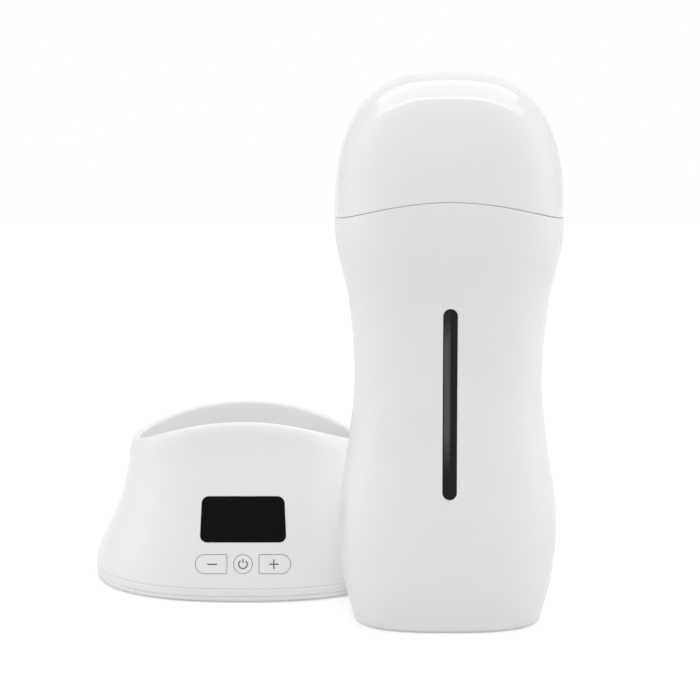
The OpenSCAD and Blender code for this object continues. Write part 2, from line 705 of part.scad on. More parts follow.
cover_low = 0.8;
cover_t = 2.2;
cover_top = cover_low + cover_t;
cover_screw_at = [23.5, 11.5];
cover_recess = 0.3;              // the screw heads lie this far inside the cover's underside
cover_head_h = 1;
shell_boss_top = 16;
boss_rib = [1.6, 8];
shell_screw_l = 9;
pillar_at = [15, 9];
pillar_r = 3;
pillar_rib_t = 1.6;
pillar_rib_h = 7.2;
contact_hole_r = 3.2;            // openings in the cover that bare the contact pads
pad_r = 3.8;
pad_t = 0.8;
pad_tail = [2, 0.8, 4];

shell_levels = 18;
// Wall of one half of the body, from the angle a0 round to a0 + 180
module half_shell(a0) {
    angles = [for (j = [0:ring_points/2]) a0 + 360*j/ring_points];
    edge = [0, 0.3, 1];
    outer = concat([for (u = edge) [for (a = angles) heater_point(u*foot_round, a, foot_inset(u*foot_round))]],
        [for (i = [1:shell_levels]) [for (a = angles)
            heater_point(mix(foot_round, seam_level(a), i/shell_levels), a)]]);
    inner = concat([for (u = edge) [for (a = angles) heater_point(u*foot_round, a, shell_t)]],
        [for (i = [1:shell_levels]) [for (a = angles)
            heater_point(mix(foot_round, seam_level(a), i/shell_levels), a, shell_t)]]);
    wall(outer, inner);
}

module shell_bosses(side) for (x = [-1, 1])
    translate([x*cover_screw_at[0], side*cover_screw_at[1], cover_top]) {
        difference() {
            union() {
                cylinder(r = screw_r + boss_wall, h = shell_boss_top - cover_top);
                translate([-boss_rib[0]/2, side > 0 ? 0 : -boss_rib[1], 0])
                    cube([boss_rib[0], boss_rib[1], shell_boss_top - cover_top]);
            }
            translate([0, 0, -1]) cylinder(r = screw_r + thread_gap, h = shell_screw_l);
        }
    }

// Runs through the front wall only
module window_shape(inset) translate([0, -shoulder_d/2, window_z]) rotate([90, 0, 0])
    linear_extrude(shoulder_d, center = true) rotate([0, 0, 90])
    long_slot(window_l - 2*inset, window_w - 2*inset);

module front_shell() at_heater() color([0.91, 0.91, 0.92]) union() {
    difference() {
        half_shell(180);
        window_shape(0);
    }
    intersection() {
        shell_bosses(-1);
        boss_space();
    }
}

module rear_shell() at_heater() color([0.91, 0.91, 0.92]) union() {
    half_shell(0);
    intersection() {
        shell_bosses(1);
        boss_space();
    }
}

// What a boss may fill: up to the middle of the wall around it
module boss_space() translate([0, 0, cover_top])
    oval_plate(heater_half_w(cover_top) - shell_t/2, heater_half_d(cover_top) - shell_t/2,
        section_power, shell_boss_top);

module bottom_cover() at_heater() color([0.88, 0.88, 0.89]) difference() {
    union() {
        translate([0, 0, cover_low]) oval_plate(foot_w/2 - shell_t - fit, foot_d/2 - shell_t - fit,
            section_power, cover_t);
        for (x = [-1, 1], y = [-1, 1]) translate([x*pillar_at[0], y*pillar_at[1], cover_low])
            cylinder(r = pillar_r, h = chamber_z - cover_low);
        for (x = [-1, 1]) translate([x*pillar_at[0] - pillar_rib_t/2, -pillar_at[1], cover_low])
            cube([pillar_rib_t, 2*pillar_at[1], pillar_rib_h]);
    }
    for (x = [-1, 1]) {
        translate([x*contact_space/2, 0, 0]) cylinder(r = contact_hole_r, h = cover_top + 1);
        translate([x*contact_space/2, 0, pad_z]) cylinder(r = pad_r + fit, h = cover_top);
        for (y = [-1, 1]) translate([x*cover_screw_at[0], y*cover_screw_at[1], 0]) {
            cylinder(r = screw_r + screw_clear, h = cover_top + 1);
            cylinder(r = screw_head_r + screw_clear, h = cover_low + cover_recess + cover_head_h);
        }
    }
}

module cover_screws() at_heater() color([0.6, 0.6, 0.62]) for (x = [-1, 1], y = [-1, 1])
    translate([x*cover_screw_at[0], y*cover_screw_at[1], cover_low + cover_recess]) difference() {
        union() {
            cylinder(r = screw_head_r, h = cover_head_h);
            cylinder(r = screw_r, h = shell_screw_l);
        }
        cross_recess();
    }

module contact_pads() at_heater() color([0.85, 0.72, 0.4]) for (x = [-1, 1])
    translate([x*contact_space/2, 0, pad_z]) {
        cylinder(r = pad_r, h = pad_t);
        translate([-pad_tail[0]/2, -pad_tail[1]/2, 0]) cube(pad_tail);
    }

module window_lens() at_heater() color([0.12, 0.12, 0.11]) intersection() {
    low = window_z - window_l/2 - 1;
    steps = [for (i = [0:10]) mix(low, low + window_l + 2, i/10)];
    angles = [255:5:285];
    wall([for (z = steps) [for (a = angles) heater_point(z, a, window_sink)]],
        [for (z = steps) [for (a = angles) heater_point(z, a, window_sink + window_t)]]);
    window_shape(fit/2);
}

window_sink = 0.25;              // the lens lies this far inside the shell's face
chamber_gap = 0.6;               // between the tank and the chamber
chamber_in_w = tank_w + 2*chamber_gap;
chamber_in_d = tank_d + 2*chamber_gap;
chamber_w = chamber_in_w + 2*chamber_t;
chamber_d = chamber_in_d + 2*chamber_t;
chamber_floor_t = 2;
deck_t = 2;
deck_top = seam_z + 2;
chamber_top = deck_top - deck_t;

module heating_chamber() at_heater() color([0.78, 0.79, 0.8]) difference() {
    translate([0, 0, chamber_z]) linear_extrude(chamber_top - chamber_z)
        rounded(chamber_w, chamber_d, tank_r + chamber_gap + chamber_t);
    translate([0, 0, chamber_z + chamber_floor_t]) linear_extrude(chamber_top)
        rounded(chamber_in_w, chamber_in_d, tank_r + chamber_gap);
    translate([0, -chamber_d/2, window_z]) rotate([90, 0, 0])
        linear_extrude(4*chamber_t, center = true) rotate([0, 0, 90]) long_slot(window_l, window_w);
}

mat_edge = 0.5;                  // the mats end this far from the chamber's rounded corners
mat_w = chamber_w - 2*(tank_r + chamber_gap + chamber_t + mat_edge);
mat_low = chamber_z + 32;
mat_h = 84;
mat_slot = 2;                    // the front mats keep this far from the window slot
thermostat_z = chamber_z + 13;
thermostat_r = 7;
thermostat_flange_t = 1;
thermostat_body_r = 5.5;
thermostat_h = 4.2;
fuse_z = chamber_z + 25;
fuse_r = 1.8;
fuse_l = 12;
fuse_wire_r = 0.5;
fuse_wire_l = 22;

module heating_mats() at_heater() color([0.75, 0.35, 0.15]) {
    translate([-mat_w/2, chamber_d/2, mat_low]) cube([mat_w, mat_t, mat_h]);
    strip = (mat_w - window_w)/2 - mat_slot;
    for (s = [-1, 1]) translate([s*(mat_w/2 - strip/2) - strip/2, -chamber_d/2 - mat_t, mat_low])
        cube([strip, mat_t, mat_h]);
}

module thermostat() at_heater() color([0.3, 0.28, 0.26])
    translate([0, chamber_d/2, thermostat_z]) rotate([-90, 0, 0]) {
        cylinder(r = thermostat_r, h = thermostat_flange_t);
        cylinder(r = thermostat_body_r, h = thermostat_h);
    }

module thermal_fuse() at_heater() color([0.85, 0.85, 0.82])
    translate([0, chamber_d/2 + fuse_r + thread_gap, fuse_z]) rotate([0, 90, 0]) {
        cylinder(r = fuse_r, h = fuse_l, center = true);
        cylinder(r = fuse_wire_r, h = fuse_wire_l, center = true);
    }

// The cap slides over the collar's wall, and the deck frames the mouth of the chamber
collar_t = 1.6;
collar_gap = 0.4;                // to the faceted walls of the shells and the cap around it
collar_low = deck_top - 8;
collar_h = 16;
collar_top = collar_low + collar_h;
collar_half_w = min(heater_half_w(collar_low, shell_t),
    heater_half_w(collar_top, cap_t, cap_inner_top)) - collar_gap;
collar_half_d = min(heater_half_d(collar_low, shell_t),
    heater_half_d(collar_top, cap_t, cap_inner_top)) - collar_gap;

module collar() at_heater() color([0.86, 0.86, 0.87]) difference() {
    union() {
        translate([0, 0, collar_low]) oval_tube(collar_half_w, collar_half_d, section_power,
            collar_h, collar_t);
        translate([0, 0, chamber_top]) oval_plate(collar_half_w - collar_t/2,
            collar_half_d - collar_t/2, section_power, deck_t);
    }
    translate([0, 0, chamber_top - 1]) linear_extrude(deck_t + 2)
        rounded(chamber_in_w, chamber_in_d, tank_r + chamber_gap);
}

// ---- cap ----

// Share of the way up the dome at the angle b along its curve
function dome_share(b) = pow(sin(b), 2/dome_power_w);

module cap() at_heater() color([0.9, 0.89, 0.88]) {
    turn = [for (j = [0:ring_points - 1]) 360*j/ring_points];
    climb = [0, 8, 18, 29, 40, 50, 59, 67, 74, 80, 85, 88.5];
    inside = [for (i = [len(climb) - 1:-1:0]) if (i%2 == 1 || i == 0 || i > 7) [for (a = turn)
        heater_point(mix(seam_level(a) + seam_gap, cap_inner_top, dome_share(climb[i])), a, cap_t, cap_inner_top)]];
    outside = [for (b = climb) [for (a = turn)
        heater_point(mix(seam_level(a) + seam_gap, heater_h, dome_share(b)), a)]];
    loft([0, 0, cap_inner_top], concat(inside, outside), [0, 0, heater_h]);
}

// ---- cartridge ----

tank_low = chamber_z + chamber_floor_t + slide_gap;
tank_top = deck_top;

module tank() at_heater() color([0.9, 0.88, 0.8]) difference() {
    translate([0, 0, tank_low]) linear_extrude(tank_top - tank_low) rounded(tank_w, tank_d, tank_r);
    translate([0, 0, tank_low + tank_t]) linear_extrude(tank_top)
        rounded(tank_w - 2*tank_t, tank_d - 2*tank_t, tank_r - tank_t);
}

module wax() at_heater() color([0.8, 0.55, 0.2]) translate([0, 0, tank_low + tank_t])
    linear_extrude(wax_h) rounded(tank_w - 2*tank_t - 2*fit, tank_d - 2*tank_t - 2*fit,
        tank_r - tank_t - fit);

head_low = tank_top;
cap_room = cap_inner_top - head_low;
roller_r = roller_share*cap_room;
roller_gap = 0.4;
cheek_t = 3;
lip_t = 2;                       // the head's lips in front of and behind the roller
head_w = roller_l + 2*(roller_gap + cheek_t);
head_d = 2*(roller_r + lip_t);
roller_lift = 0.18;              // share of the room that is left under the roller
cheek_share = 0.44;              // the cheeks end this share of the radius over the axle
lip_share = 0.22;                // the lips end this share of the radius under the axle
neck_start = 0.14;               // the head narrows from this share of its height,
neck_side = 0.38;                // up to this one at the cheeks
neck_front = 0.48;               // and up to this one at the lips
throat_share = 0.5;              // slot that lets the wax onto the roller, as a share of the height
throat_w = 6;
throat_end = 4;                  // the slot ends this far inside the roller's ends
roller_z = head_low + roller_r + roller_lift*cap_room;
head_top = roller_z + cheek_share*roller_r;
head_h = head_top - head_low;
head_foot = head_low + neck_start*head_h;
head_side = head_low + neck_side*head_h;
head_front = head_low + neck_front*head_h;
throat_l = roller_l - 2*throat_end;

module roller_head() at_heater() color([0.93, 0.92, 0.9]) difference() {
    intersection() {
        translate([0, 0, head_low]) linear_extrude(head_top - head_low)
            rounded(tank_w, tank_d, tank_r);
        rotate([90, 0, 90]) linear_extrude(tank_w, center = true) polygon([
            [-tank_d/2, head_low], [tank_d/2, head_low], [tank_d/2, head_foot],
            [head_d/2, head_front], [head_d/2, head_top],
            [-head_d/2, head_top], [-head_d/2, head_front], [-tank_d/2, head_foot]]);
        rotate([90, 0, 0]) linear_extrude(tank_d, center = true) {
            polygon([[-tank_w/2, head_low], [tank_w/2, head_low], [tank_w/2, head_foot],
                [head_w/2, head_side], [head_w/2, head_top], [-head_w/2, head_top],
                [-head_w/2, head_side], [-tank_w/2, head_foot]]);
        }
    }
    translate([0, 0, roller_z]) rotate([0, 90, 0])
        cylinder(r = roller_r + roller_gap, h = roller_l + 2*roller_gap, center = true);
    translate([-roller_l/2 - roller_gap, -head_d, roller_z - lip_share*roller_r])
        cube([roller_l + 2*roller_gap, 2*head_d, roller_r]);
    translate([0, 0, roller_z]) rotate([0, 90, 0])
        cylinder(r = axle_r + thread_gap, h = head_w + 2, center = true);
    translate([0, 0, head_low - 1]) linear_extrude(throat_share*head_h + 1)
        rounded(throat_l, throat_w, throat_w/3);
}

module roller() at_heater() color([0.85, 0.85, 0.86]) translate([0, 0, roller_z])
    rotate([0, 90, 0]) {
        cylinder(r = roller_r, h = roller_l, center = true);
        cylinder(r = axle_r, h = head_w, center = true);
    }

dock_shell();
base_plate();
feet();
base_screws();
display_lens();
display_module();
control_board();
tact_switches();
button_minus();
button_power();
button_plus();
contact_block();
contact_pin_left();
contact_pin_right();
pin_spring_left();
pin_spring_right();
power_inlet();
inlet_pins();
power_board();
power_parts();
front_shell();
rear_shell();
bottom_cover();
cover_screws();
window_lens();
collar();
heating_chamber();
heating_mats();
thermostat();
thermal_fuse();
contact_pads();
cap();
tank();
wax();
roller_head();
roller();
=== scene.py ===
import bpy
import math
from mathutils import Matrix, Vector


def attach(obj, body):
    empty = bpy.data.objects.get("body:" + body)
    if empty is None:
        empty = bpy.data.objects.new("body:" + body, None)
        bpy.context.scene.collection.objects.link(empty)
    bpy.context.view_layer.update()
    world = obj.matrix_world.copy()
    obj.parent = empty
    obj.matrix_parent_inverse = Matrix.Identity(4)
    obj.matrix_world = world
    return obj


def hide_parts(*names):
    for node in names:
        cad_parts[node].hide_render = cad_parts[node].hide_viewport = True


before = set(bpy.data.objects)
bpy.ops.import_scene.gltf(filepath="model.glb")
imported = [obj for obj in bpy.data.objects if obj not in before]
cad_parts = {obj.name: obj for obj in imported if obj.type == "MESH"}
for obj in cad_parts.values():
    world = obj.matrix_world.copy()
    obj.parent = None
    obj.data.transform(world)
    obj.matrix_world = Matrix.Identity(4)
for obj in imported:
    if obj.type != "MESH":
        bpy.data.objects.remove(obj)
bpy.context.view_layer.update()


scene = bpy.context.scene

# ---- Studio: white paper floor and backdrop ------------------------------------------------
# White paper under large soft lamps in front, behind, at both sides and overhead. Seen directly
# and in reflections the surroundings are pure white; as light they are dimmer, to show the forms.


def node(tree, kind, settings=(), values=()):
    """Adds a node with its settings and with a value or a link for each socket that is named."""
    made = tree.nodes.new(kind)
    for key, value in dict(settings).items():
        setattr(made, key, value)
    for key, value in dict(values).items():
        if isinstance(value, bpy.types.NodeSocket):
            tree.links.new(value, made.inputs[key])
        else:
            made.inputs[key].default_value = value
    return made


def empty_tree(owner):
    """The node tree of a world or material, without the nodes that it starts with."""
    owner.use_nodes = True
    owner.node_tree.nodes.clear()
    return owner.node_tree


def two_looks(owner, kind, as_light, as_seen):
    """Joins two shaders of a world or material: what lights things, and what is seen or mirrored.
    Each is made by a function of the node tree."""
    tree = empty_tree(owner)
    path = node(tree, "ShaderNodeLightPath")
    seen = path.outputs["Is Camera Ray"]
    for ray in ["Is Glossy Ray", "Is Transmission Ray"]:
        both = node(tree, "ShaderNodeMath", {"operation": "MAXIMUM"}, {0: seen, 1: path.outputs[ray]})
        seen = both.outputs[0]
    values = {0: seen, 1: as_light(tree), 2: as_seen(tree)}
    look = node(tree, "ShaderNodeMixShader", values=values)
    node(tree, kind, values={"Surface": look.outputs[0]})


def studio_light(tree):
    lit = node(tree, "ShaderNodeBackground", values={"Color": (0.985, 0.985, 1.0, 1), "Strength": 0.32})
    return lit.outputs[0]


def studio_white(tree):
    return node(tree, "ShaderNodeBackground", values={"Color": (1, 1, 1, 1), "Strength": 1.0}).outputs[0]


world = bpy.data.worlds.new("white_studio")
scene.world = world
two_looks(world, "ShaderNodeOutputWorld", studio_light, studio_white)


def soft_lamp(name, place, target, width, height, glow, mirrored=False):
    """A rectangular soft lamp that faces the target; glow is its brightness beside white at 1.
    A mirrored one shows in reflections and gives no light."""
    data = bpy.data.lights.new(name, "AREA")
    data.shape = "RECTANGLE"
    data.size = width
    data.size_y = height
    data.energy = glow * math.pi * width * height
    lamp = bpy.data.objects.new(name, data)
    lamp.location = place
    aim = Vector(target) - Vector(place)
    lamp.rotation_euler = aim.to_track_quat("-Z", "Y").to_euler()
    lamp.visible_glossy = mirrored
    lamp.visible_diffuse = not mirrored
    scene.collection.objects.link(lamp)


soft_lamp("lamp_left", (-1.6, 0.1, 0.45), (0, 0, 0.1), 1.2, 1.2, 2.1)
soft_lamp("lamp_right", (1.6, 0.1, 0.45), (0, 0, 0.1), 1.2, 1.2, 2.8)
soft_lamp("lamp_front", (-0.3, -2.4, 1.0), (0, 0, 0.1), 1.6, 0.8, 6.5)
soft_lamp("lamp_back", (0.5, 2.4, 0.75), (0, 0, 0.1), 1.6, 1.6, 2.2)
soft_lamp("panel_over", (0, 0.5, 1.5), (0, 0.5, 0), 3.2, 1.6, 1.25, mirrored=True)
soft_lamp("lamp_over", (0, 0.1, 1.4), (0, 0, 0), 1.6, 1.4, 1.15)
soft_lamp("strip_back", (0, 1.35, 1.5), (0, 1.35, 0), 3.4, 0.08, 9.0, mirrored=True)
soft_lamp("strip_front", (0, -0.3, 1.5), (0, -0.3, 0), 2.0, 0.07, 8.0, mirrored=True)


def edge_card(name, x, glow):
    """An upright off-white card beside the set, seen only in reflections, that defines edges."""
    mesh = bpy.data.meshes.new(name)
    corners = [(x, 0.15, -0.01), (x, 1.6, -0.01), (x, 1.6, 1.0), (x, 0.15, 1.0)]
    mesh.from_pydata(corners, [], [(0, 1, 2, 3)])
    card = bpy.data.objects.new(name, mesh)
    card.visible_camera = False
    card.visible_diffuse = False
    card.visible_shadow = False
    card.visible_transmission = False
    material = bpy.data.materials.new(name)
    tree = empty_tree(material)
    light = node(tree, "ShaderNodeEmission", values={"Color": (glow, glow, glow * 1.03, 1)})
    node(tree, "ShaderNodeOutputMaterial", values={"Surface": light.outputs[0]})
    mesh.materials.append(material)
    scene.collection.objects.link(card)


edge_card("card_left", -0.75, 0.85)
edge_card("card_right", 0.75, 0.85)


def paper_light(tree):
    return node(tree, "ShaderNodeBsdfDiffuse", values={"Color": (0.72, 0.72, 0.72, 1)}).outputs[0]


def paper_white(tree):
    matt = node(tree, "ShaderNodeBsdfDiffuse", values={"Color": (0.86, 0.86, 0.86, 1)})
    glow = node(tree, "ShaderNodeEmission", values={"Color": (1, 1, 1, 1), "Strength": 0.28})
    both = node(tree, "ShaderNodeAddShader", values={0: matt.outputs[0], 1: glow.outputs[0]})
    return both.outputs[0]


paper = bpy.data.materials.new("white_paper")
two_looks(paper, "ShaderNodeOutputMaterial", paper_light, paper_white)
floor_mesh = bpy.data.meshes.new("paper_floor")
corners = [(-0.9, -0.9, 0), (0.9, -0.9, 0), (0.9, 0.8, 0), (-0.9, 0.8, 0)]
floor_mesh.from_pydata(corners, [], [(0, 1, 2, 3)])
floor_mesh.materials.append(paper)
floor = bpy.data.objects.new("paper_floor", floor_mesh)
scene.collection.objects.link(floor)

camera_data = bpy.data.cameras.new("camera")
camera_data.lens = 175
camera_data.sensor_width = 36
camera = bpy.data.objects.new("camera", camera_data)
camera.location = (0.01005, -1.21315, 0.3465)
camera.rotation_euler = (math.radians(78), 0, 0)
scene.collection.objects.link(camera)
scene.camera = camera
scene.view_settings.view_transform = "Standard"

# ---- Dock shell -----------------------------------------------------------------------------
# One injection-moulded white ABS housing: a flared skirt that leans back at the front, a round
# rim that arches at the front and back, and the pocket that the heater's foot stands in.


def mix(a, b, t):
    return a + (b - a) * t


def oval(a, b, n, t):
    """Point at the angle t, in degrees, on a superellipse of half sizes a and b, squareness n."""
    c = math.cos(math.radians(t))
    s = math.sin(math.radians(t))
    k = (abs(c) ** n + abs(s) ** n) ** (-1 / n)
    return a * c * k, b * s * k


def curve(stations, z):
    """Smooth curve through (level, value) stations, level at the last one."""

    def slope(i):
        if i == len(stations) - 1:
            return 0
        low = stations[max(i - 1, 0)]
        high = stations[i + 1]
        return (high[1] - low[1]) / (high[0] - low[0])

    i = 0
    while i < len(stations) - 2 and z >= stations[i + 1][0]:
        i += 1
    h = stations[i + 1][0] - stations[i][0]
    t = min(1, max(0, (z - stations[i][0]) / h))
    start = (2 * t**3 - 3 * t**2 + 1) * stations[i][1] + (t**3 - 2 * t**2 + t) * h * slope(i)
    end = (3 * t**2 - 2 * t**3) * stations[i + 1][1] + (t**3 - t**2) * h * slope(i + 1)
    return start + end


SQUARENESS = 2.8
DOCK_AT = (-28.8, 21.55)
HIP_Z = 38.5
WAIST_Z = 89
SHOULDER_Z = 142
HIP_W = 38.7
HIP_D = 27.5
SHOULDER_W = 40.1
SHOULDER_D = 28.5
BASE_W = 56
BASE_D = 46.3
FLARE = 2.4
RIM_Z = 51.8
POCKET_GAP = 1.1
RIM_T = 3.0
RIM_OUT = 2.5
RIM_FALL = 4.2
RIM_IN = 0.6
RIM_IN_FALL = 1.4
RIM_ARCH = 9.1
RIM_TILT = 2.55
NECK_W = HIP_W + POCKET_GAP + RIM_T
NECK_D = HIP_D + POCKET_GAP + RIM_T
SKIRT_T = 2.2
POCKET_Z = 10
POCKET_T = 1.6
BASE_TOP = 4.9
LEAN_LOW = 48
LEAN_END = 54
LEAN_HIGH = 60
LEAN_SLOPE = (BASE_D - NECK_D) / LEAN_END


def body_stations(foot, hip, waist, shoulder):
    """The heater's outline: foot, hip, waist and shoulder with a station between each pair."""
    return [
        (0, foot),
        (0.42 * HIP_Z, mix(foot, hip, 0.73)),
        (HIP_Z, hip),
        (mix(HIP_Z, WAIST_Z, 0.57), mix(hip, waist, 0.7)),
        (WAIST_Z, waist),
        (mix(WAIST_Z, SHOULDER_Z, 0.5), mix(waist, shoulder, 0.29)),
        (SHOULDER_Z, shoulder),
    ]


WIDE = body_stations(33, HIP_W, 33.1, SHOULDER_W)
DEEP = body_stations(23.5, HIP_D, 24.5, SHOULDER_D)
SKIRT = [
    (0, BASE_W),
    (0.168 * RIM_Z, mix(BASE_W, NECK_W, 0.05)),
    (0.428 * RIM_Z, mix(BASE_W, NECK_W, 0.514)),
    (0.61 * RIM_Z, mix(BASE_W, NECK_W, 0.777)),
    (RIM_Z, NECK_W),
]


def dock_half_w(z):
    return curve(SKIRT, z) if z < RIM_Z else NECK_W


def dock_half_d(z):
    """Half depth: it leans up to one level and eases into the upright neck up to another."""
    if z < LEAN_LOW:
        return NECK_D + LEAN_SLOPE * (LEAN_END - z)
    if z < LEAN_HIGH:
        return NECK_D + LEAN_SLOPE * (LEAN_HIGH - z) ** 2 / (2 * (LEAN_HIGH - LEAN_LOW))
    return NECK_D


def dock_power(z):
    return mix(FLARE, SQUARENESS, min(1, z / RIM_Z))


def dock_point(z, a, t=0):
    x, y = oval(dock_half_w(z) - t, dock_half_d(z) - t, dock_power(z), a)
    return x, y, z


def rim_level(a):
    x, y = oval(1, 1, SQUARENESS, a)
    return RIM_Z + RIM_ARCH * (1 - x * x) - RIM_TILT * y


def pocket_point(z, a, t=0):
    h = min(HIP_Z, max(0, z - POCKET_Z))
    x, y = oval(curve(WIDE, h) + POCKET_GAP + t, curve(DEEP, h) + POCKET_GAP + t, SQUARENESS, a)
    return x, y, z


def cavity_top(a):
    """Level at which the space between skirt and pocket closes at the angle a."""
    least_gap = 1.2
    z = 20
    while z < rim_level(a) - 6:
        outer = math.hypot(*dock_point(z, a, SKIRT_T)[:2])
        inner = math.hypot(*pocket_point(z, a, POCKET_T)[:2])
        if outer - inner < least_gap:
            break
        z += 0.5
    return z


def loft(first_tip, rings, last_tip):
    """Closed surface over rings of equal count, with a middle point closing each end."""
    count = len(rings[0])
    points = [first_tip] + [p for ring in rings for p in ring] + [last_tip]
    faces = []
    for j in range(count):
        k = (j + 1) % count
        faces.append((0, 1 + k, 1 + j))
        top = 1 + (len(rings) - 1) * count
        faces.append((len(points) - 1, top + j, top + k))
        for i in range(len(rings) - 1):
            low = 1 + i * count
            high = low + count
            faces.append((low + j, low + k, high + k, high + j))
    return points, faces


def smooth(mesh, sharp=30):
    """Shades a mesh smooth, apart from edges that turn by more than sharp degrees."""
    mesh.shade_smooth()
    mesh.set_sharp_from_angle(angle=math.radians(sharp))


def mesh_object(name, points, faces, at, sharp=30):
    """Makes an object from millimetre points, moved to the dock's or the heater's place."""
    mesh = bpy.data.meshes.new(name)
    moved = [((x + at[0]) / 1000, (y + at[1]) / 1000, z / 1000) for x, y, z in points]
    mesh.from_pydata(moved, [], faces)
    mesh.update()
    smooth(mesh, sharp)
    obj = bpy.data.objects.new(name, mesh)
    scene.collection.objects.link(obj)
    return obj


def cut(obj, cutters):
    """Takes the cutters out of the object, with exact booleans, and removes them."""
    for cutter in cutters:
        step = obj.modifiers.new("cut", "BOOLEAN")
        step.operation = "DIFFERENCE"
        step.solver = "EXACT"
        step.object = cutter
    graph = bpy.context.evaluated_depsgraph_get()
    mesh = bpy.data.meshes.new_from_object(obj.evaluated_get(graph))
    obj.modifiers.clear()
    obj.data = mesh
    smooth(mesh)
    for cutter in cutters:
        bpy.data.objects.remove(cutter)


def dress(obj, body, material, slot, *nodes):
    """Gives a piece its body and its finish, and hides the CAD nodes that it stands for."""
    obj.data.materials.clear()
    obj.data.materials.append(material)
    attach(obj, body)
    if nodes:
        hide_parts(*nodes)
    return obj


# Shader helpers: the shared effects are node groups that give only colours, values or normals.


def new_group(name, inputs, outputs=("Color", "Roughness", "Normal")):
    """A shader node group with (name, kind, default) inputs, and its inner input sockets."""
    kinds = {"Color": "NodeSocketColor", "Normal": "NodeSocketVector"}
    group = bpy.data.node_groups.new(name, "ShaderNodeTree")
    for label, kind, value in inputs:
        socket = group.interface.new_socket(label, in_out="INPUT", socket_type=kind)
        socket.default_value = value
    for label in outputs:
        kind = kinds.get(label, "NodeSocketFloat")
        group.interface.new_socket(label, in_out="OUTPUT", socket_type=kind)
    return group, node(group, "NodeGroupInput").outputs


def noise(tree, vector, scale, detail, **others):
    """The value of a noise texture over a vector, whose lumps are about 1 / scale metres."""
    values = {"Vector": vector, "Scale": scale, "Detail": detail, **others}
    return node(tree, "ShaderNodeTexNoise", values=values).outputs["Fac"]


def spread(tree, value, low, high, start=0.0, end=1.0):
    """Maps a value from the range start to end onto the range low to high."""
    span = {"Value": value, "From Min": start, "From Max": end, "To Min": low, "To Max": high}
    return node(tree, "ShaderNodeMapRange", values=span).outputs["Result"]


def maths(tree, operation, first, second, third=0.5):
    values = {0: first, 1: second, 2: third}
    return node(tree, "ShaderNodeMath", {"operation": operation}, values).outputs[0]


def bump(tree, height, strength, distance):
    """A normal from a height, whose full relief is the distance in metres."""
    values = {"Height": height, "Strength": strength, "Distance": distance}
    return node(tree, "ShaderNodeBump", values=values).outputs["Normal"]


def scaled(tree, colour, amount):
    values = {0: colour, "Scale": amount}
    return node(tree, "ShaderNodeVectorMath", {"operation": "SCALE"}, values).outputs[0]


def moulded_group():
    """Moulded plastic: fine tool texture, faint flow clouds in tone and a slightly uneven gloss."""
    group, given = new_group(
        "moulded_plastic",
        [
            ("Color", "NodeSocketColor", (0.8, 0.8, 0.8, 1)),
            ("Roughness", "NodeSocketFloat", 0.35),
            ("Grain", "NodeSocketFloat", 0.15),
            ("Cloud", "NodeSocketFloat", 0.02),
        ],
    )
    place = node(group, "ShaderNodeTexCoord").outputs["Object"]
    cloud = spread(group, noise(group, place, 28.0, 3.0, Roughness=0.5), -1.0, 1.0, 0.3, 0.7)
    amount = maths(group, "MULTIPLY_ADD", cloud, given["Cloud"], 1.0)
    wipe = noise(group, place, 140.0, 4.0, Roughness=0.6)
    gloss = spread(group, wipe, 0.88, 1.12, 0.25, 0.75)
    pores = noise(group, place, 2600.0, 2.0, Roughness=0.55)
    made = {
        "Color": scaled(group, given["Color"], amount),
        "Roughness": maths(group, "MULTIPLY", given["Roughness"], gloss),
        "Normal": bump(group, pores, given["Grain"], 0.00006),
    }
    node(group, "NodeGroupOutput", values=made)
    return group


MOULDED = moulded_group()


def surface(tree, values):
    """Ends a material's tree with its shader, from values and linked sockets."""
    shader = node(tree, "ShaderNodeBsdfPrincipled", values=values)
    node(tree, "ShaderNodeOutputMaterial", values={"Surface": shader.outputs[0]})


def finished(name, effect, effect_values, shader_values):
    """A material whose group gives colour, roughness and normal; the shader itself is here."""
    material = bpy.data.materials.new(name)
    tree = empty_tree(material)
    look = node(tree, "ShaderNodeGroup", {"node_tree": effect}, effect_values).outputs
    linked = {"Base Color": look["Color"], "Roughness": look["Roughness"], "Normal": look["Normal"]}
    surface(tree, {**linked, **shader_values})
    return material


def moulded_material(name, colour, roughness, grain, cloud, coat=0.0):
    return finished(
        name,
        MOULDED,
        {"Color": (*colour, 1), "Roughness": roughness, "Grain": grain, "Cloud": cloud},
        {"IOR": 1.5, "Coat Weight": coat, "Coat Roughness": 0.08},
    )


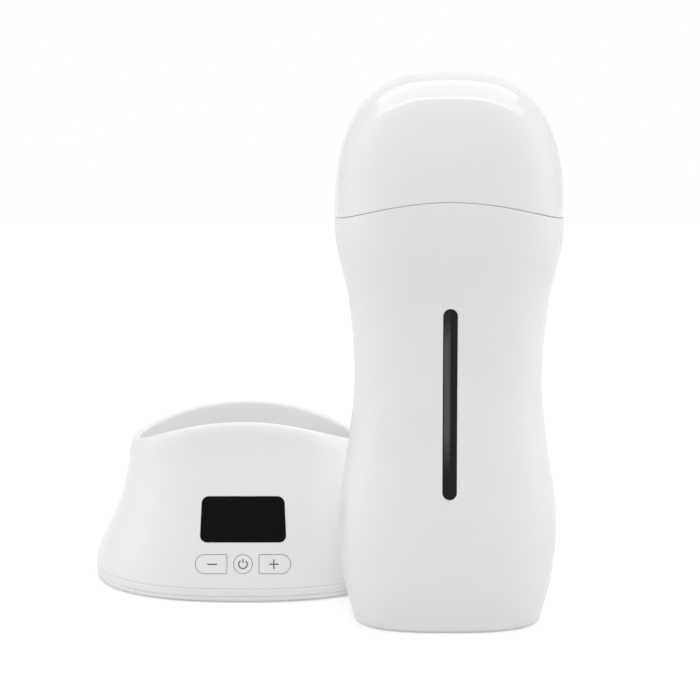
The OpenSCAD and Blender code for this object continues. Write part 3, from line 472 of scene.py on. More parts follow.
def dock_rings(count):
    """Rings of the dock shell, from under the pocket round the skirt and the rim to its floor."""
    turn = [360 * j / count for j in range(count)]
    lip = 0.26
    crown = 1.2
    roof = [cavity_top(a) for a in turn]
    neck = [rim_level(a) - RIM_FALL for a in turn]
    under = POCKET_Z - POCKET_T
    rings = [[pocket_point(under, a, POCKET_T) for a in turn]]
    for u in [0.2, 0.4, 0.6, 0.8, 1]:
        level = [mix(POCKET_Z, top - crown, u) for top in roof]
        rings.append([pocket_point(z, a, POCKET_T) for z, a in zip(level, turn)])
    middle = []
    for top, a in zip(roof, turn):
        p = pocket_point(top, a, POCKET_T)
        s = dock_point(top, a, SKIRT_T)
        middle.append(((p[0] + s[0]) / 2, (p[1] + s[1]) / 2, top))
    rings.append(middle)
    for u in [0.98, 0.85, 0.7, 0.55, 0.4, 0.25, 0.1, 0]:
        level = [mix(BASE_TOP, top - crown, u) for top in roof]
        rings.append([dock_point(z, a, SKIRT_T) for z, a in zip(level, turn)])
    for b in [0, 30, 60, 90]:
        inset = lip * (1 - math.sin(math.radians(b)))
        z = BASE_TOP + lip * (1 - math.cos(math.radians(b)))
        rings.append([dock_point(z, a, inset) for a in turn])
    steps = 44
    for i in range(1, steps + 1):
        level = [mix(BASE_TOP + lip, top, i / steps) for top in neck]
        rings.append([dock_point(z, a) for z, a in zip(level, turn)])
    for b in range(9, 180, 9):
        wide = RIM_OUT if b < 90 else RIM_T - RIM_OUT + RIM_IN
        tall = RIM_FALL if b < 90 else RIM_IN_FALL
        out = wide * math.cos(math.radians(b)) - RIM_OUT
        up = tall * math.sin(math.radians(b)) + RIM_FALL - tall
        ring = []
        for top, a in zip(neck, turn):
            x, y = oval(NECK_W + out, NECK_D + out, SQUARENESS, a)
            ring.append((x, y, top + up))
        rings.append(ring)
    for u in [1, 0.9, 0.8, 0.7, 0.6, 0.5, 0.4, 0.3, 0.2, 0.12, 0.05]:
        level = [mix(POCKET_Z, rim_level(a) - RIM_IN_FALL, u) for a in turn]
        swell = -RIM_IN * max(0, (u - 0.6) / 0.4) ** 2
        rings.append([pocket_point(z, a, swell) for z, a in zip(level, turn)])
    rings.append([pocket_point(POCKET_Z + 0.3, a, -0.1) for a in turn])
    rings.append([pocket_point(POCKET_Z, a, -0.5) for a in turn])
    return rings, (0, 0, under), (0, 0, POCKET_Z)


LEAN = math.atan(LEAN_SLOPE)


def front_frame(level, side=-1):
    """A frame on the leaning front, or on the back for side 1, at a level: its origin and its
    directions across, up the slope and out of the face."""
    across = Vector((-side, 0, 0))
    up = Vector((0, -side * math.sin(LEAN), math.cos(LEAN)))
    out = Vector((0, side * math.cos(LEAN), math.sin(LEAN)))
    return Vector((0, side * dock_half_d(level), level)), across, up, out


def dock_depth(p):
    """Below 0 inside the dock's skirt, above 0 outside it, in about millimetres."""
    n = dock_power(p[2])
    r = (abs(p[0] / dock_half_w(p[2])) ** n + abs(p[1] / dock_half_d(p[2])) ** n) ** (1 / n)
    return (r - 1) * dock_half_d(p[2])


def on_skirt(place, u, v, depth):
    """Point that lies depth outside the skirt at (u, v) of a frame on its face."""
    origin, across, up, out = place
    start = origin + across * u + up * v
    w = 0.0
    for _ in range(6):
        here = dock_depth(start + out * w)
        ahead = dock_depth(start + out * (w + 0.01))
        w -= here / ((ahead - here) / 0.01)
    return tuple(start + out * (w + depth))


def round_rect(w, h, r, grow=0, steps=14):
    """Outline of a rounded rectangle, grown outwards, with points also along its long sides."""
    r = r + grow
    half_w = w / 2 + grow - r
    half_h = h / 2 + grow - r
    points = []
    for cx, cy, first in [(1, 1, 0), (-1, 1, 90), (-1, -1, 180), (1, -1, 270)]:
        for i in range(steps + 1):
            t = math.radians(first + 90 * i / steps)
            points.append((cx * half_w + r * math.cos(t), cy * half_h + r * math.sin(t)))
    return dense(points)


def dense(points, gap=0.9):
    """Adds points along any long straight run of a closed outline."""
    made = []
    for i, p in enumerate(points):
        q = points[(i + 1) % len(points)]
        length = math.hypot(q[0] - p[0], q[1] - p[1])
        parts = max(1, round(length / gap))
        for k in range(parts):
            made.append((mix(p[0], q[0], k / parts), mix(p[1], q[1], k / parts)))
    return made


KEY_H = 7.4
KEY_INNER = 5.6
KEY_OUTER = 17.6
POWER_R = 3.5


def side_outline(sign, grow):
    """Outline of the minus or plus opening: a round outer end and a square inner end."""
    steps = 14
    h = KEY_H + 2 * grow
    inner = KEY_INNER - grow
    outer = KEY_OUTER + grow
    soft = max(0.05, 0.6 + grow)
    points = []
    for i in range(2 * steps + 1):
        t = math.radians(90 + 180 * i / (2 * steps))
        points.append((-outer + h / 2 + h / 2 * math.cos(t), h / 2 * math.sin(t)))
    for cy, first in [(-1, 270), (1, 0)]:
        for i in range(steps + 1):
            t = math.radians(first + 90 * i / steps)
            x = -inner - soft + soft * math.cos(t)
            points.append((x, cy * (h / 2 - soft) + soft * math.sin(t)))
    if sign > 0:
        points = [(-x, y) for x, y in reversed(points)]
    return dense(points)


def disc_outline(r, grow=0):
    steps = 72
    return [
        ((r + grow) * math.cos(2 * math.pi * i / steps), (r + grow) * math.sin(2 * math.pi * i / steps))
        for i in range(steps)
    ]


def middle_of(points):
    return (
        (min(p[0] for p in points) + max(p[0] for p in points)) / 2,
        (min(p[1] for p in points) + max(p[1] for p in points)) / 2,
    )


def opening_cutter(name, outline, place, edge=0.22):
    """A cutter through the skirt that leaves a rounded edge where it meets the face.
    outline(grow) gives the opening's outline."""
    inside = -4.6
    outside = 2.5
    profile = [(0, inside), (0, -edge)]
    for b in [25, 50]:
        t = math.radians(b)
        profile.append((edge * (1 - math.cos(t)), -edge + edge * math.sin(t)))
    profile.append((edge * 1.15, edge * 0.6))
    profile.append((edge * 1.15, outside))
    rings = []
    for grow, out in profile:
        rings.append([on_skirt(place, u, v, out) for u, v in outline(grow)])
    low = on_skirt(place, *middle_of(outline(0)), inside)
    high = on_skirt(place, *middle_of(outline(0)), outside)
    points, faces = loft(low, rings, high)
    return mesh_object(name, points, faces, DOCK_AT)


DISPLAY_Z = 29.3
BUTTONS_Z = 13.6
INLET_Z = 15.6
DISPLAY_AT = front_frame(DISPLAY_Z)
BUTTONS_AT = front_frame(BUTTONS_Z)
INLET_AT = front_frame(INLET_Z, 1)


def tapered(points):
    """The display is a little wider at its lower edge, like the flared face around it."""
    return [(u * (1 - 0.0029 * v), v) for u, v in points]


def display_outline(grow):
    return tapered(round_rect(30.7, 16.8, 2.6, grow))


def minus_outline(grow):
    return side_outline(-1, grow - 0.15)


def plus_outline(grow):
    return side_outline(1, grow - 0.15)


def power_outline(grow):
    return disc_outline(POWER_R, grow)


def inlet_outline(grow):
    return round_rect(22.4, 11.8, 2.2, grow)


rings, first_tip, last_tip = dock_rings(160)
dock_points, dock_faces = loft(first_tip, rings, last_tip)
dock_shell = mesh_object("housing_of_dock", dock_points, dock_faces, DOCK_AT)
socket_outline = round_rect(31.4, 9.4, 2.2)
socket_points, socket_faces = loft(
    (0, 0, 6),
    [[(u, v, z) for u, v in socket_outline] for z in (6, 12)],
    (0, 0, 12),
)
cut(
    dock_shell,
    [
        opening_cutter("cut_display", display_outline, DISPLAY_AT),
        opening_cutter("cut_minus", minus_outline, BUTTONS_AT),
        opening_cutter("cut_power", power_outline, BUTTONS_AT),
        opening_cutter("cut_plus", plus_outline, BUTTONS_AT),
        opening_cutter("cut_inlet", inlet_outline, INLET_AT, edge=0.25),
        mesh_object("cut_block", socket_points, socket_faces, DOCK_AT),
    ],
)
dock_white = moulded_material("dock_white_abs", (0.81, 0.811, 0.816), 0.34, 0.12, 0.012, coat=0.15)
dress(dock_shell, "dock", dock_white, "dock_white", "dock_shell")

# ---- Base plate -----------------------------------------------------------------------------
# The moulded plate that closes the dock from below: a band under the housing, a fine shadow
# groove and a lower trim, in the same plastic with a duller texture.


def plate_ring(z, inset, count):
    return [(*oval(BASE_W - inset, BASE_D - inset, FLARE, 360 * j / count), z) for j in range(count)]


base_profile = [
    (2.8, 22.0),
    (2.8, 4.0),
    (3.0, 2.4),
    (4.86, 2.2),
    (4.88, 0.3),
    (4.82, 0.12),
    (4.68, 0.0),
    (3.5, 0.0),
    (2.6, 0.0),
    (2.5, 0.06),
    (2.44, 0.2),
    (2.38, 0.62),
    (2.28, 0.72),
    (2.2, 0.62),
    (2.1, 0.53),
    (1.95, 0.5),
    (1.0, 0.5),
    (0.7, 0.56),
    (0.55, 0.75),
    (0.5, 1.1),
    (0.5, 22.0),
]
base_rings = [plate_ring(z, inset, 160) for z, inset in base_profile]
base_points, base_faces = loft((0, 0, 2.8), base_rings, (0, 0, 0.5))
base = mesh_object("base_of_dock", base_points, base_faces, DOCK_AT)
SCREW_HOLE = [(2.75, -1), (2.75, 2.2), (1.55, 2.2), (1.55, 4)]
FOOT_SEAT = [(5.2, -1), (5.2, 1.6)]


def turned(name, x, y, steps):
    """A turned form about an upright axis through (x, y), from (radius, level) steps upwards."""
    rings = [[(x + u, y + v, z) for u, v in disc_outline(r)] for r, z in steps]
    points, faces = loft((x, y, steps[0][1]), rings, (x, y, steps[-1][1]))
    return mesh_object(name, points, faces, DOCK_AT)


holes = []
for x in (-1, 1):
    for y in (-1, 1):
        holes.append(turned("cut_screw", 27 * x, 15 * y, SCREW_HOLE))
        holes.append(turned("cut_foot", 36 * x, 24 * y, FOOT_SEAT))
cut(base, holes)
base_white = moulded_material("base_white_abs", (0.81, 0.811, 0.812), 0.5, 0.3, 0.015)
dress(base, "dock", base_white, "base_white", "base_plate")

# ---- Feet and base screws -------------------------------------------------------------------
# Four round pads of dark grey rubber glued into shallow seats of the base plate, and four
# zinc-plated cross-head screws that hold the plate to bosses under the pocket.


def metal_group():
    """Drawn or machined metal: fine lines along an axis, with a little tone and gloss change."""
    group, given = new_group(
        "lined_metal",
        [
            ("Color", "NodeSocketColor", (0.6, 0.6, 0.6, 1)),
            ("Roughness", "NodeSocketFloat", 0.3),
            ("Lines", "NodeSocketVector", (800, 800, 800)),
        ],
    )
    place = node(group, "ShaderNodeTexCoord").outputs["Object"]
    values = {0: place, 1: given["Lines"]}
    drawn = node(group, "ShaderNodeVectorMath", {"operation": "MULTIPLY"}, values).outputs[0]
    lines = noise(group, drawn, 1.0, 4.0, Roughness=0.6)
    gloss = spread(group, lines, 0.8, 1.3, 0.3, 0.7)
    made = {
        "Color": scaled(group, given["Color"], spread(group, lines, 0.88, 1.08, 0.3, 0.7)),
        "Roughness": maths(group, "MULTIPLY", given["Roughness"], gloss),
        "Normal": bump(group, lines, 0.25, 0.00002),
    }
    node(group, "NodeGroupOutput", values=made)
    return group


LINED_METAL = metal_group()


def metal_material(name, colour, roughness, lines):
    return finished(
        name,
        LINED_METAL,
        {"Color": (*colour, 1), "Roughness": roughness, "Lines": lines},
        {"Metallic": 1.0},
    )


def coat_node(material, slot, width, *names):
    """Gives carried-over CAD nodes their finish and softens their edges by width millimetres."""
    for name in names:
        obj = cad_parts[name]
        obj.data.materials.clear()
        obj.data.materials.append(material)
        if width:
            soft = obj.modifiers.new("soft_edges", "BEVEL")
            soft.width = width / 1000
            soft.segments = 2
            soft.limit_method = "ANGLE"
            soft.angle_limit = math.radians(35)


rubber_grey = moulded_material("rubber_grey_feet", (0.035, 0.035, 0.038), 0.75, 0.6, 0.04)
coat_node(rubber_grey, "rubber_grey", 0.3, "feet")
screw_steel = metal_material("screw_steel_zinc", (0.56, 0.56, 0.58), 0.32, (900, 900, 300))
coat_node(screw_steel, "screw_steel", 0.12, "base_screws")

# ---- Display --------------------------------------------------------------------------------
# A black gloss lens, flush with the housing, with the smoked look of a dead-front panel.


def face_piece(name, outline, place, sink, thick, edge, rows=10):
    """A plate with a rounded edge whose face follows the skirt, sunk a little below it."""
    centre = middle_of(outline(0))
    profile = [(-0.02, -thick), (0, -thick + 0.05), (0, -edge)]
    for b in [20, 40, 60, 80]:
        t = math.radians(b)
        profile.append((-edge * (1 - math.cos(t)), -edge + edge * math.sin(t)))
    rings = []
    for grow, out in profile:
        rings.append([on_skirt(place, u, v, out - sink) for u, v in outline(grow)])
    for i in range(rows):
        share = i / rows
        ring = []
        for u, v in outline(-edge):
            p = (mix(u, centre[0], share), mix(v, centre[1], share))
            ring.append(on_skirt(place, *p, -sink))
        rings.append(ring)
    low = on_skirt(place, *centre, -thick - sink)
    high = on_skirt(place, *centre, -sink)
    points, faces = loft(low, rings, high)
    return mesh_object(name, points, faces, DOCK_AT)


def lens_outline(grow):
    return tapered(round_rect(30.3, 16.4, 2.4, grow))


display = face_piece("lens_of_display", lens_outline, DISPLAY_AT, 0.05, 1.2, 0.12, rows=16)


def painted_reflection_group():
    """Mask of the band of a smoked lens where a lighter colour is painted in as a reflection."""
    group, given = new_group(
        "painted_reflection_band",
        [
            ("Place", "NodeSocketVector", (0, 0, 0)),
            ("Left", "NodeSocketFloat", 0.0),
            ("Right", "NodeSocketFloat", 0.0),
            ("Low", "NodeSocketFloat", 0.0),
            ("High", "NodeSocketFloat", 0.0),
        ],
        ["Mask"],
    )
    axes = node(group, "ShaderNodeSeparateXYZ", values={0: given["Place"]}).outputs
    mask = None
    for inside, soft in [
        (maths(group, "SUBTRACT", axes["X"], given["Left"]), 0.00035),
        (maths(group, "SUBTRACT", given["Right"], axes["X"]), 0.0002),
        (maths(group, "SUBTRACT", axes["Z"], given["Low"]), 0.009),
        (maths(group, "SUBTRACT", given["High"], axes["Z"]), 0.009),
    ]:
        eased = {"interpolation_type": "SMOOTHSTEP"}
        values = {"Value": inside, "From Min": -soft, "From Max": soft}
        ramp = node(group, "ShaderNodeMapRange", eased, values).outputs["Result"]
        mask = maths(group, "MULTIPLY", mask, ramp) if mask else ramp
    node(group, "NodeGroupOutput", values={"Mask": mask})
    return group


PAINTED_REFLECTION_BAND = painted_reflection_group()


def blend(tree, share, first, second):
    """Colour that goes from the first to the second as the share goes from 0 to 1."""
    values = {0: share, 6: first, 7: second}
    return node(tree, "ShaderNodeMix", {"data_type": "RGBA"}, values).outputs[2]


def two_tones(tree, value, first, second):
    """Colour ramp of a value between two (position, colour) stops."""
    shade = node(tree, "ShaderNodeValToRGB", values={"Fac": value})
    for element, (position, colour) in zip(shade.color_ramp.elements, [first, second]):
        element.position = position
        element.color = (*colour, 1)
    return shade.outputs["Color"]


def glass_material(name, colour, roughness, smear, shine=0.12, painted_reflection=None):
    """Dark gloss plastic with faint wiping marks. A painted reflection is a lighter colour and the
    values of the band that it is painted over."""
    material = bpy.data.materials.new(name)
    tree = empty_tree(material)
    place = node(tree, "ShaderNodeTexCoord").outputs["Object"]
    marks = noise(tree, place, 60.0, 5.0, Distortion=1.5)
    face = two_tones(tree, marks, (0.35, [c * 0.85 for c in colour]), (0.7, colour))
    # Painted reflection: a lighter colour is blended into the face over one band of the lens.
    if painted_reflection:
        light, edges = painted_reflection
        values = {"Place": place, **edges}
        reflection_mask = node(tree, "ShaderNodeGroup", {"node_tree": PAINTED_REFLECTION_BAND}, values).outputs["Mask"]
        face = blend(tree, reflection_mask, face, (*light, 1))
    gloss = spread(tree, marks, roughness, roughness + smear, 0.4, 0.75)
    surface(tree, {"Base Color": face, "Roughness": gloss, "IOR": 1.5, "Specular IOR Level": shine})
    return material


display_black = glass_material("display_black_acrylic", (0.004, 0.004, 0.0032), 0.2, 0.08, shine=0.05)
dress(display, "dock", display_black, "display_black", "display_lens")

# ---- Buttons --------------------------------------------------------------------------------
# Three moulded caps in a lighter, warmer plastic, each with a rounded edge and a pad-printed
# grey symbol. They sit in openings of the housing and each rides on its own switch.

button_white = moulded_material("button_white_abs", (0.82, 0.81, 0.80), 0.32, 0.08, 0.008, coat=0.2)
print_grey = moulded_material("print_grey_ink", (0.13, 0.118, 0.115), 0.55, 0.2, 0.03)


def minus_face(grow):
    return side_outline(-1, grow - 0.27)


def plus_face(grow):
    return side_outline(1, grow - 0.27)


def power_face(grow):
    return disc_outline(3.38, grow)


def bar_outline(w, h, x, y):
    def outline(grow):
        return [(x + u, y + v) for u, v in round_rect(w, h, min(w, h) / 2.2, grow, steps=4)]

    return outline


def ring_mark(name, place, radius, width, first, last):
    """A printed arc between two angles, as a thin closed band let into the button's face."""
    steps = 48
    inner = radius - width / 2
    outer = radius + width / 2
    sections = []
    for i in range(steps + 1):
        t = math.radians(mix(first, last, i / steps))
        section = []
        for r, out in [(inner, 0), (outer, 0), (outer, -0.05), (inner, -0.05)]:
            section.append(on_skirt(place, r * math.cos(t), r * math.sin(t), out))
        sections.append(section)
    middle = []
    for section in (sections[0], sections[-1]):
        middle.append(tuple(sum(p[k] for p in section) / 4 for k in range(3)))
    points, faces = loft(middle[0], sections, middle[1])
    return mesh_object(name, points, faces, DOCK_AT)


for word, outline in [("minus", minus_face), ("power", power_face), ("plus", plus_face)]:
    node_name = "button_" + word
    key = face_piece("key_" + word, outline, BUTTONS_AT, 0.05, 2.1, 0.32)
    dress(key, node_name, button_white, "button_white", node_name)

for word, owner, w, h, x, y in [
    ("minus", "minus", 3.6, 0.5, -11.2, -0.05),
    ("plus_across", "plus", 3.6, 0.48, 11.2, 0),
    ("plus_upright", "plus", 0.48, 3.6, 11.2, 0),
    ("power", "power", 0.46, 1.5, 0, 1.15),
]:
    mark = face_piece("mark_" + word, bar_outline(w, h, x, y), BUTTONS_AT, 0, 0.1, 0.01, rows=3)
    dress(mark, "button_" + owner, print_grey, "button_white")
ring = ring_mark("mark_ring", BUTTONS_AT, 1.56, 0.46, 125, 415)
dress(ring, "button_power", print_grey, "button_white")

# ---- Boards behind the front ----------------------------------------------------------------
# A green control board behind the buttons carries three tact switches and the display module.
# A crescent power board stands on posts behind the pocket, with capacitor, relay and fuse.


def board_material():
    """Circuit board: green solder mask with paler copper tracks and small tinned pads."""
    material = bpy.data.materials.new("circuit_board_green")
    tree = empty_tree(material)
    place = node(tree, "ShaderNodeTexCoord").outputs["Object"]
    axes = node(tree, "ShaderNodeSeparateXYZ", values={0: place}).outputs
    upright = maths(tree, "ADD", axes["Y"], axes["Z"])
    flat = node(tree, "ShaderNodeCombineXYZ", values={"X": axes["X"], "Y": upright}).outputs[0]
    tracks = node(
        tree,
        "ShaderNodeTexBrick",
        values={
            "Vector": flat,
            "Color1": (0.012, 0.085, 0.035, 1),
            "Color2": (0.016, 0.1, 0.042, 1),
            "Mortar": (0.05, 0.2, 0.08, 1),
            "Scale": 1.0,
            "Mortar Size": 0.00025,
            "Mortar Smooth": 0.2,
            "Brick Width": 0.007,
            "Row Height": 0.0021,
        },
    ).outputs
    pads = node(tree, "ShaderNodeTexVoronoi", values={"Vector": flat, "Scale": 330.0})
    dot = spread(tree, pads.outputs["Distance"], 0.0, 1.0, 0.2, 0.16)
    made = {
        "Base Color": blend(tree, dot, tracks["Color"], (0.6, 0.6, 0.58, 1)),
        "Roughness": spread(tree, tracks["Fac"], 0.3, 0.42),
        "Normal": bump(tree, tracks["Fac"], 0.5, 0.00005),
    }
    surface(tree, {"IOR": 1.5, **made})
    return material


coat_node(board_material(), "circuit_board", 0, "control_board", "power_board")
black_plastic = moulded_material("black_plastic_nylon", (0.028, 0.028, 0.03), 0.5, 0.35, 0.05)
coat_node(black_plastic, "black_plastic", 0.15, "display_module", "tact_switches")
component_blue = moulded_material("component_blue_sleeve", (0.03, 0.07, 0.22), 0.3, 0.1, 0.06)
coat_node(component_blue, "component_blue", 0.2, "power_parts")

# ---- Contacts in the pocket -----------------------------------------------------------------
# A black moulded block in the pocket's floor guides two gold-plated contact pins. Each pin is
# pushed up by a small coil spring and sinks when the heater is put in.

coat_node(black_plastic, "black_plastic", 0.4, "contact_block")
contact_brass = metal_material("contact_brass_plated", (0.83, 0.62, 0.28), 0.2, (2500, 2500, 400))
plunger_profile = [(2.2, 8.3), (2.3, 8.4), (2.3, 8.95), (2.2, 9.05), (1.56, 9.05), (1.5, 9.11)]
plunger_profile += [(1.5, 11.02), (1.47, 11.14)]
for radius in [1.4, 1.25, 1.05, 0.8, 0.5, 0.2]:
    plunger_profile.append((radius, 10.025 + math.sqrt(1.875**2 - radius**2)))
for word, x in [("left", -10), ("right", 10)]:
    plunger = turned("plunger_" + word, x, 0, plunger_profile)
    dress(plunger, "contact_pin_" + word, contact_brass, "contact_brass", "contact_pin_" + word)
spring_steel = metal_material("spring_steel_wire", (0.58, 0.58, 0.6), 0.28, (600, 600, 600))
coat_node(spring_steel, "spring_steel", 0, "pin_spring_left", "pin_spring_right")

# ---- Mains inlet ----------------------------------------------------------------------------
# A black two-pole socket for a detachable lead, set through the back of the dock, with two
# bright round pins in its figure-eight mouth.

coat_node(black_plastic, "black_plastic", 0.35, "power_inlet")
coat_node(spring_steel, "spring_steel", 0.2, "inlet_pins")

# ---- Heater housing -------------------------------------------------------------------------
# Two long moulded half shells, front and rear, that meet at the sides. Their outline swells at
# the hip, narrows at the waist for the hand and widens again to the shoulder under the cap.

HEATER_AT = (44.7, -39.35)
HEATER_H = 195
SHELL_T = 2.2
FOOT_ROUND = 1.4
DOME_W = 2.8
DOME_D = 3
SEAM_Z = 145.7
SEAM_ARCH = 8.6


def dome(z, top, power):
    return max(0, 1 - (max(0, z - SHOULDER_Z) / (top - SHOULDER_Z)) ** power) ** (1 / power)


def heater_half(z, t=0, top=HEATER_H):
    if z <= SHOULDER_Z:
        return curve(WIDE, z) - t, curve(DEEP, z) - t
    return (SHOULDER_W - t) * dome(z, top, DOME_W), (SHOULDER_D - t) * dome(z, top, DOME_D)


def heater_point(z, a, t=0, top=HEATER_H):
    w, d = heater_half(z, t, top)
    x, y = oval(w, d, SQUARENESS, a)
    return x, y, z


def seam_level(a):
    return SEAM_Z + SEAM_ARCH * (1 - oval(1, 1, SQUARENESS, a)[0] ** 2)


def grid_wall(outer, inner):
    """Closed wall between an outer and an inner sheet of rows with equal count."""
    rows = len(outer)
    count = len(outer[0])
    points = [p for row in outer for p in row] + [p for row in inner for p in row]
    faces = []

    def o(i, j):
        return i * count + j

    def q(i, j):
        return (rows + i) * count + j

    for i in range(rows - 1):
        for j in range(count - 1):
            faces.append((o(i, j), o(i, j + 1), o(i + 1, j + 1), o(i + 1, j)))
            faces.append((q(i, j), q(i + 1, j), q(i + 1, j + 1), q(i, j + 1)))
    for j in range(count - 1):
        faces.append((o(0, j), q(0, j), q(0, j + 1), o(0, j + 1)))
        top = rows - 1
        faces.append((o(top, j), o(top, j + 1), q(top, j + 1), q(top, j)))
    for i in range(rows - 1):
        faces.append((o(i, 0), o(i + 1, 0), q(i + 1, 0), q(i, 0)))
        end = count - 1
        faces.append((o(i, end), q(i, end), q(i + 1, end), o(i + 1, end)))
    return points, faces


def shell_half(name, first):
    """Half of the housing from the angle first round by 180 degrees, its split edges eased."""
    inner_angles = [first + 180 * j / 96 for j in range(97)]
    angles = [first, first + 0.25, first + 0.7] + inner_angles[1:-1]
    angles += [first + 179.3, first + 179.75, first + 180]
    pull = [0.16, 0.04, 0] + [0] * (len(angles) - 6) + [0, 0.04, 0.16]
    soft = 0.3
    ends = [seam_level(a) - soft for a in angles]
    rows = []
    for b in range(0, 91, 18):
        t = math.radians(b)
        z = FOOT_ROUND * (1 - math.cos(t))
        rows.append(([z] * len(angles), FOOT_ROUND * (1 - math.sin(t))))
    for i in range(1, 90):
        rows.append(([mix(FOOT_ROUND, end, i / 90) for end in ends], 0))
    for b in [0, 30, 60, 90]:
        t = math.radians(b)
        rows.append(([end + soft * math.sin(t) for end in ends], soft * (1 - math.cos(t))))
    outer = []
    inner = []
    for levels, inset in rows:
        outer.append([heater_point(z, a, inset + p) for z, a, p in zip(levels, angles, pull)])
        inner.append([heater_point(z, a, SHELL_T) for z, a in zip(levels, angles)])
    points, faces = grid_wall(outer, inner)
    return mesh_object(name, points, faces, HEATER_AT)


def slot_outline(w, length, grow):
    """Upright slot with round ends, about its middle."""
    steps = 16
    r = w / 2 + grow
    half = (length - w) / 2
    points = []
    for cy, first in [(1, 0), (-1, 180)]:
        for i in range(2 * steps + 1):
            t = math.radians(first + 180 * i / (2 * steps))
            points.append((r * math.cos(t), cy * half + r * math.sin(t)))
    return dense(points, 1.5)


def on_front_wall(x, z, depth):
    w, d = heater_half(z)
    y = -d * (1 - (abs(x) / w) ** SQUARENESS) ** (1 / SQUARENESS)
    return x, y - depth, z


WINDOW_Z = 83
WINDOW = (5, 67.6)


def window_cutter():
    edge = 0.3
    profile = [(0, -5), (0, -edge), (0.04, -0.15), (0.14, -0.05), (edge, 0.12), (edge, 3)]
    rings = []
    for grow, out in profile:
        rings.append([on_front_wall(u, WINDOW_Z + v, out) for u, v in slot_outline(*WINDOW, grow)])
    points, faces = loft(on_front_wall(0, WINDOW_Z, -5), rings, on_front_wall(0, WINDOW_Z, 3))
    return mesh_object("cut_window", points, faces, HEATER_AT)


front_shell = shell_half("housing_front", 180)
cut(front_shell, [window_cutter()])
rear_shell = shell_half("housing_rear", 0)
heater_white = moulded_material("heater_white_abs", (0.80, 0.80, 0.808), 0.36, 0.12, 0.012, coat=0.1)
dress(front_shell, "heater", heater_white, "heater_white", "front_shell")
dress(rear_shell, "heater", heater_white, "heater_white", "rear_shell")

# ---- Window ---------------------------------------------------------------------------------
# A smoked lens in a long slot, through which the level of the wax shows. Its face is flat with a
# bevelled edge all round, and a lighter band down its left half is painted into its colour as a
# reflection.

LENS_BACK = -1.6
LENS_FACE = -0.25
lens_profile = [(-0.12, LENS_BACK), (-0.1, -1.5), (-0.1, -0.45), (-0.15, -0.32), (-0.3, -0.26)]
lens_rings = []
for grow, out in lens_profile:
    lens_rings.append([on_front_wall(u, WINDOW_Z + v, out) for u, v in slot_outline(*WINDOW, grow)])
for share in [0.15, 0.3, 0.45, 0.6, 0.75, 0.9]:
    ring = []
    for u, v in slot_outline(*WINDOW, -0.3):
        ring.append(on_front_wall(u * (1 - share), WINDOW_Z + v * (1 - share * 0.07), LENS_FACE))
    lens_rings.append(ring)
back_tip = on_front_wall(0, WINDOW_Z, LENS_BACK)
face_tip = on_front_wall(0, WINDOW_Z, LENS_FACE)
lens_points, lens_faces = loft(back_tip, lens_rings, face_tip)
window = mesh_object("lens_of_window", lens_points, lens_faces, HEATER_AT)
window_smoke = glass_material(
    "window_smoke_plastic",
    (0.012, 0.012, 0.0095),
    0.16,
    0.08,
    # The lighter colour down the left half of the lens is a painted reflection.
    painted_reflection=(
        (0.086, 0.081, 0.072),
        {"Left": 0.0425, "Right": 0.04475, "Low": 0.066, "High": 0.109},
    ),
)
dress(window, "heater", window_smoke, "window_smoke", "window_lens")

# ---- Cap ------------------------------------------------------------------------------------
# A glossier domed cap in one moulding. It slides down over the collar and its edge arches up
# at the front and back, in step with the shells below it.

cap_turn = [360 * j / 160 for j in range(160)]


def cap_ring(share, top, t):
    ring = []
    for a in cap_turn:
        z = mix(seam_level(a) + 0.6, top, share)
        ring.append(heater_point(z, a, t, top))
    return ring


CAP_T = 2
CAP_TOP_IN = HEATER_H - 2.4
cap_rings = []
for b in [88.5, 84, 78, 71, 63, 54, 44, 33, 22, 11, 0]:
    cap_rings.append(cap_ring(math.sin(math.radians(b)) ** (2 / DOME_W), CAP_TOP_IN, CAP_T))
for rise, t in [(0.12, CAP_T), (0.12, 1.2), (0.12, 0.3), (0.16, 0.13), (0.27, 0.04)]:
    cap_rings.append([heater_point(seam_level(a) + rise, a, t) for a in cap_turn])
for i in range(64):
    b = math.radians(89.4 * i / 63)
    cap_rings.append(cap_ring(math.sin(b) ** (2 / DOME_W), HEATER_H, 0))
cap_points, cap_faces = loft((0, 0, CAP_TOP_IN), cap_rings, (0, 0, HEATER_H))
cap = mesh_object("shell_of_cap", cap_points, cap_faces, HEATER_AT, sharp=40)
cap_white = moulded_material("cap_white_gloss", (0.81, 0.805, 0.787), 0.16, 0.04, 0.008, coat=0.4)
dress(cap, "cap", cap_white, "cap_white", "cap")

# ---- Bottom cover ---------------------------------------------------------------------------
# A satin plate that closes the foot of the heater, with four screws and two openings that bare
# gold-plated contact pads. Four pillars on its inner side carry the heating chamber.

cover_white = moulded_material("cover_white_abs", (0.79, 0.79, 0.78), 0.5, 0.3, 0.015)
coat_node(cover_white, "base_white", 0.25, "bottom_cover")
coat_node(screw_steel, "screw_steel", 0.12, "cover_screws")
coat_node(contact_brass, "contact_brass", 0.1, "contact_pads")

# ---- Heating chamber ------------------------------------------------------------------------
# A drawn aluminium sleeve round the cartridge. Silicone mats with a heating wire are glued to
# its flat sides, with a thermostat and a thermal fuse on its back.

chamber_aluminium = metal_material("chamber_aluminium_drawn", (0.76, 0.77, 0.78), 0.34, (1500, 1500, 25))
coat_node(chamber_aluminium, "chamber_aluminium", 0.2, "heating_chamber")


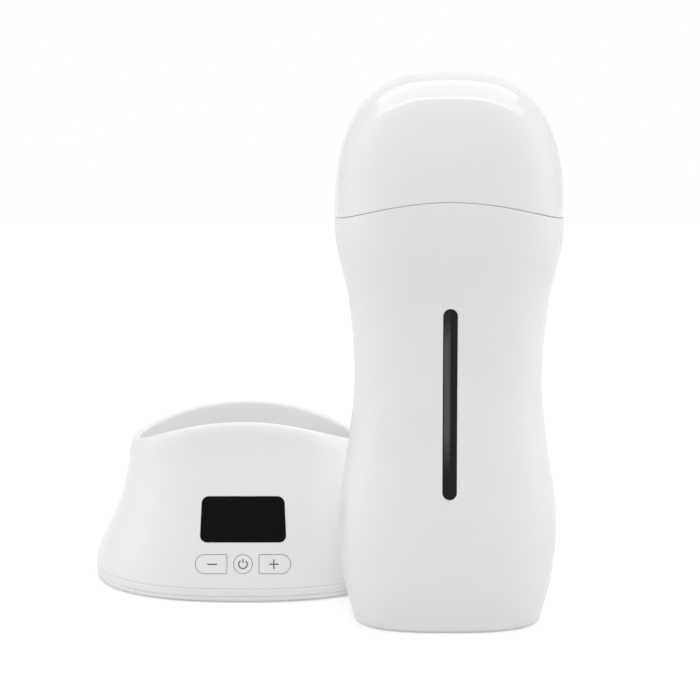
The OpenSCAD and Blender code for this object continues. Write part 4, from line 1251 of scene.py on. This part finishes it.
def mat_material():
    """Heating mat: orange silicone over glass cloth, with the wire's zigzag showing through."""
    material = bpy.data.materials.new("mat_silicone_orange")
    tree = empty_tree(material)
    place = node(tree, "ShaderNodeTexCoord").outputs["Object"]
    zigzag = {"Vector": place, "Scale": 50.0, "Distortion": 1.2, "Detail": 1.0, "Detail Scale": 6.0}
    wire = node(tree, "ShaderNodeTexWave", {"bands_direction": "Z"}, zigzag).outputs["Fac"]
    weave = {"Vector": place, "Scale": 1800.0, "Randomness": 0.15}
    cloth = node(tree, "ShaderNodeTexVoronoi", values=weave).outputs["Distance"]
    made = {
        "Base Color": two_tones(tree, wire, (0.72, (0.5, 0.13, 0.045)), (0.9, (0.36, 0.08, 0.03))),
        "Roughness": spread(tree, cloth, 0.55, 0.75),
        "Normal": bump(tree, cloth, 0.6, 0.0001),
    }
    surface(tree, {"IOR": 1.42, **made})
    return material


coat_node(mat_material(), "mat_silicone", 0.15, "heating_mats")
thermostat_brown = moulded_material("thermostat_brown_phenolic", (0.1, 0.06, 0.035), 0.45, 0.3, 0.12)
coat_node(thermostat_brown, "thermostat_brown", 0.2, "thermostat")
fuse_white = moulded_material("fuse_white_ceramic", (0.78, 0.77, 0.74), 0.3, 0.2, 0.04)
coat_node(fuse_white, "fuse_white", 0.1, "thermal_fuse")

# ---- Collar ---------------------------------------------------------------------------------
# The white ring that the cap slides over. Its deck frames the mouth of the chamber.

collar_white = moulded_material("collar_white_abs", (0.78, 0.783, 0.79), 0.42, 0.15, 0.012)
coat_node(collar_white, "collar_white", 0.35, "collar")

# ---- Cartridge ------------------------------------------------------------------------------
# A replaceable tank of frosted plastic filled with honey-coloured wax. Its white head holds a
# smooth roller between two cheeks, which lays the molten wax on the skin.


def wax_group():
    """Set resin: slow swirls between a lighter and a darker tone, and a slightly wavy face."""
    group, given = new_group(
        "set_wax",
        [
            ("Light", "NodeSocketColor", (0.7, 0.4, 0.1, 1)),
            ("Dark", "NodeSocketColor", (0.5, 0.22, 0.04, 1)),
        ],
    )
    place = node(group, "ShaderNodeTexCoord").outputs["Object"]
    swirl = noise(group, place, 45.0, 3.0, Distortion=1.8)
    made = {
        "Color": blend(group, swirl, given["Light"], given["Dark"]),
        "Roughness": spread(group, swirl, 0.22, 0.4),
        "Normal": bump(group, swirl, 0.3, 0.0004),
    }
    node(group, "NodeGroupOutput", values=made)
    return group


wax_honey = finished(
    "wax_honey_resin",
    wax_group(),
    {"Light": (0.7, 0.33, 0.055, 1), "Dark": (0.48, 0.17, 0.02, 1)},
    {"IOR": 1.48, "Subsurface Weight": 0.25, "Subsurface Scale": 0.004},
)
coat_node(wax_honey, "wax_honey", 0, "wax")
tank_clear = finished(
    "tank_clear_frosted",
    MOULDED,
    {"Color": (0.95, 0.9, 0.78, 1), "Roughness": 0.2, "Grain": 0.15, "Cloud": 0.02},
    {"IOR": 1.49, "Transmission Weight": 0.88},
)
coat_node(tank_clear, "tank_clear", 0.6, "tank")
head_white = moulded_material("roller_head_white_pp", (0.82, 0.8, 0.755), 0.42, 0.12, 0.02)
coat_node(head_white, "roller_head_white", 0.5, "roller_head")
roller_grey = moulded_material("roller_grey_pp", (0.66, 0.665, 0.675), 0.28, 0.08, 0.01, coat=0.2)
coat_node(roller_grey, "roller_grey", 0.4, "roller")
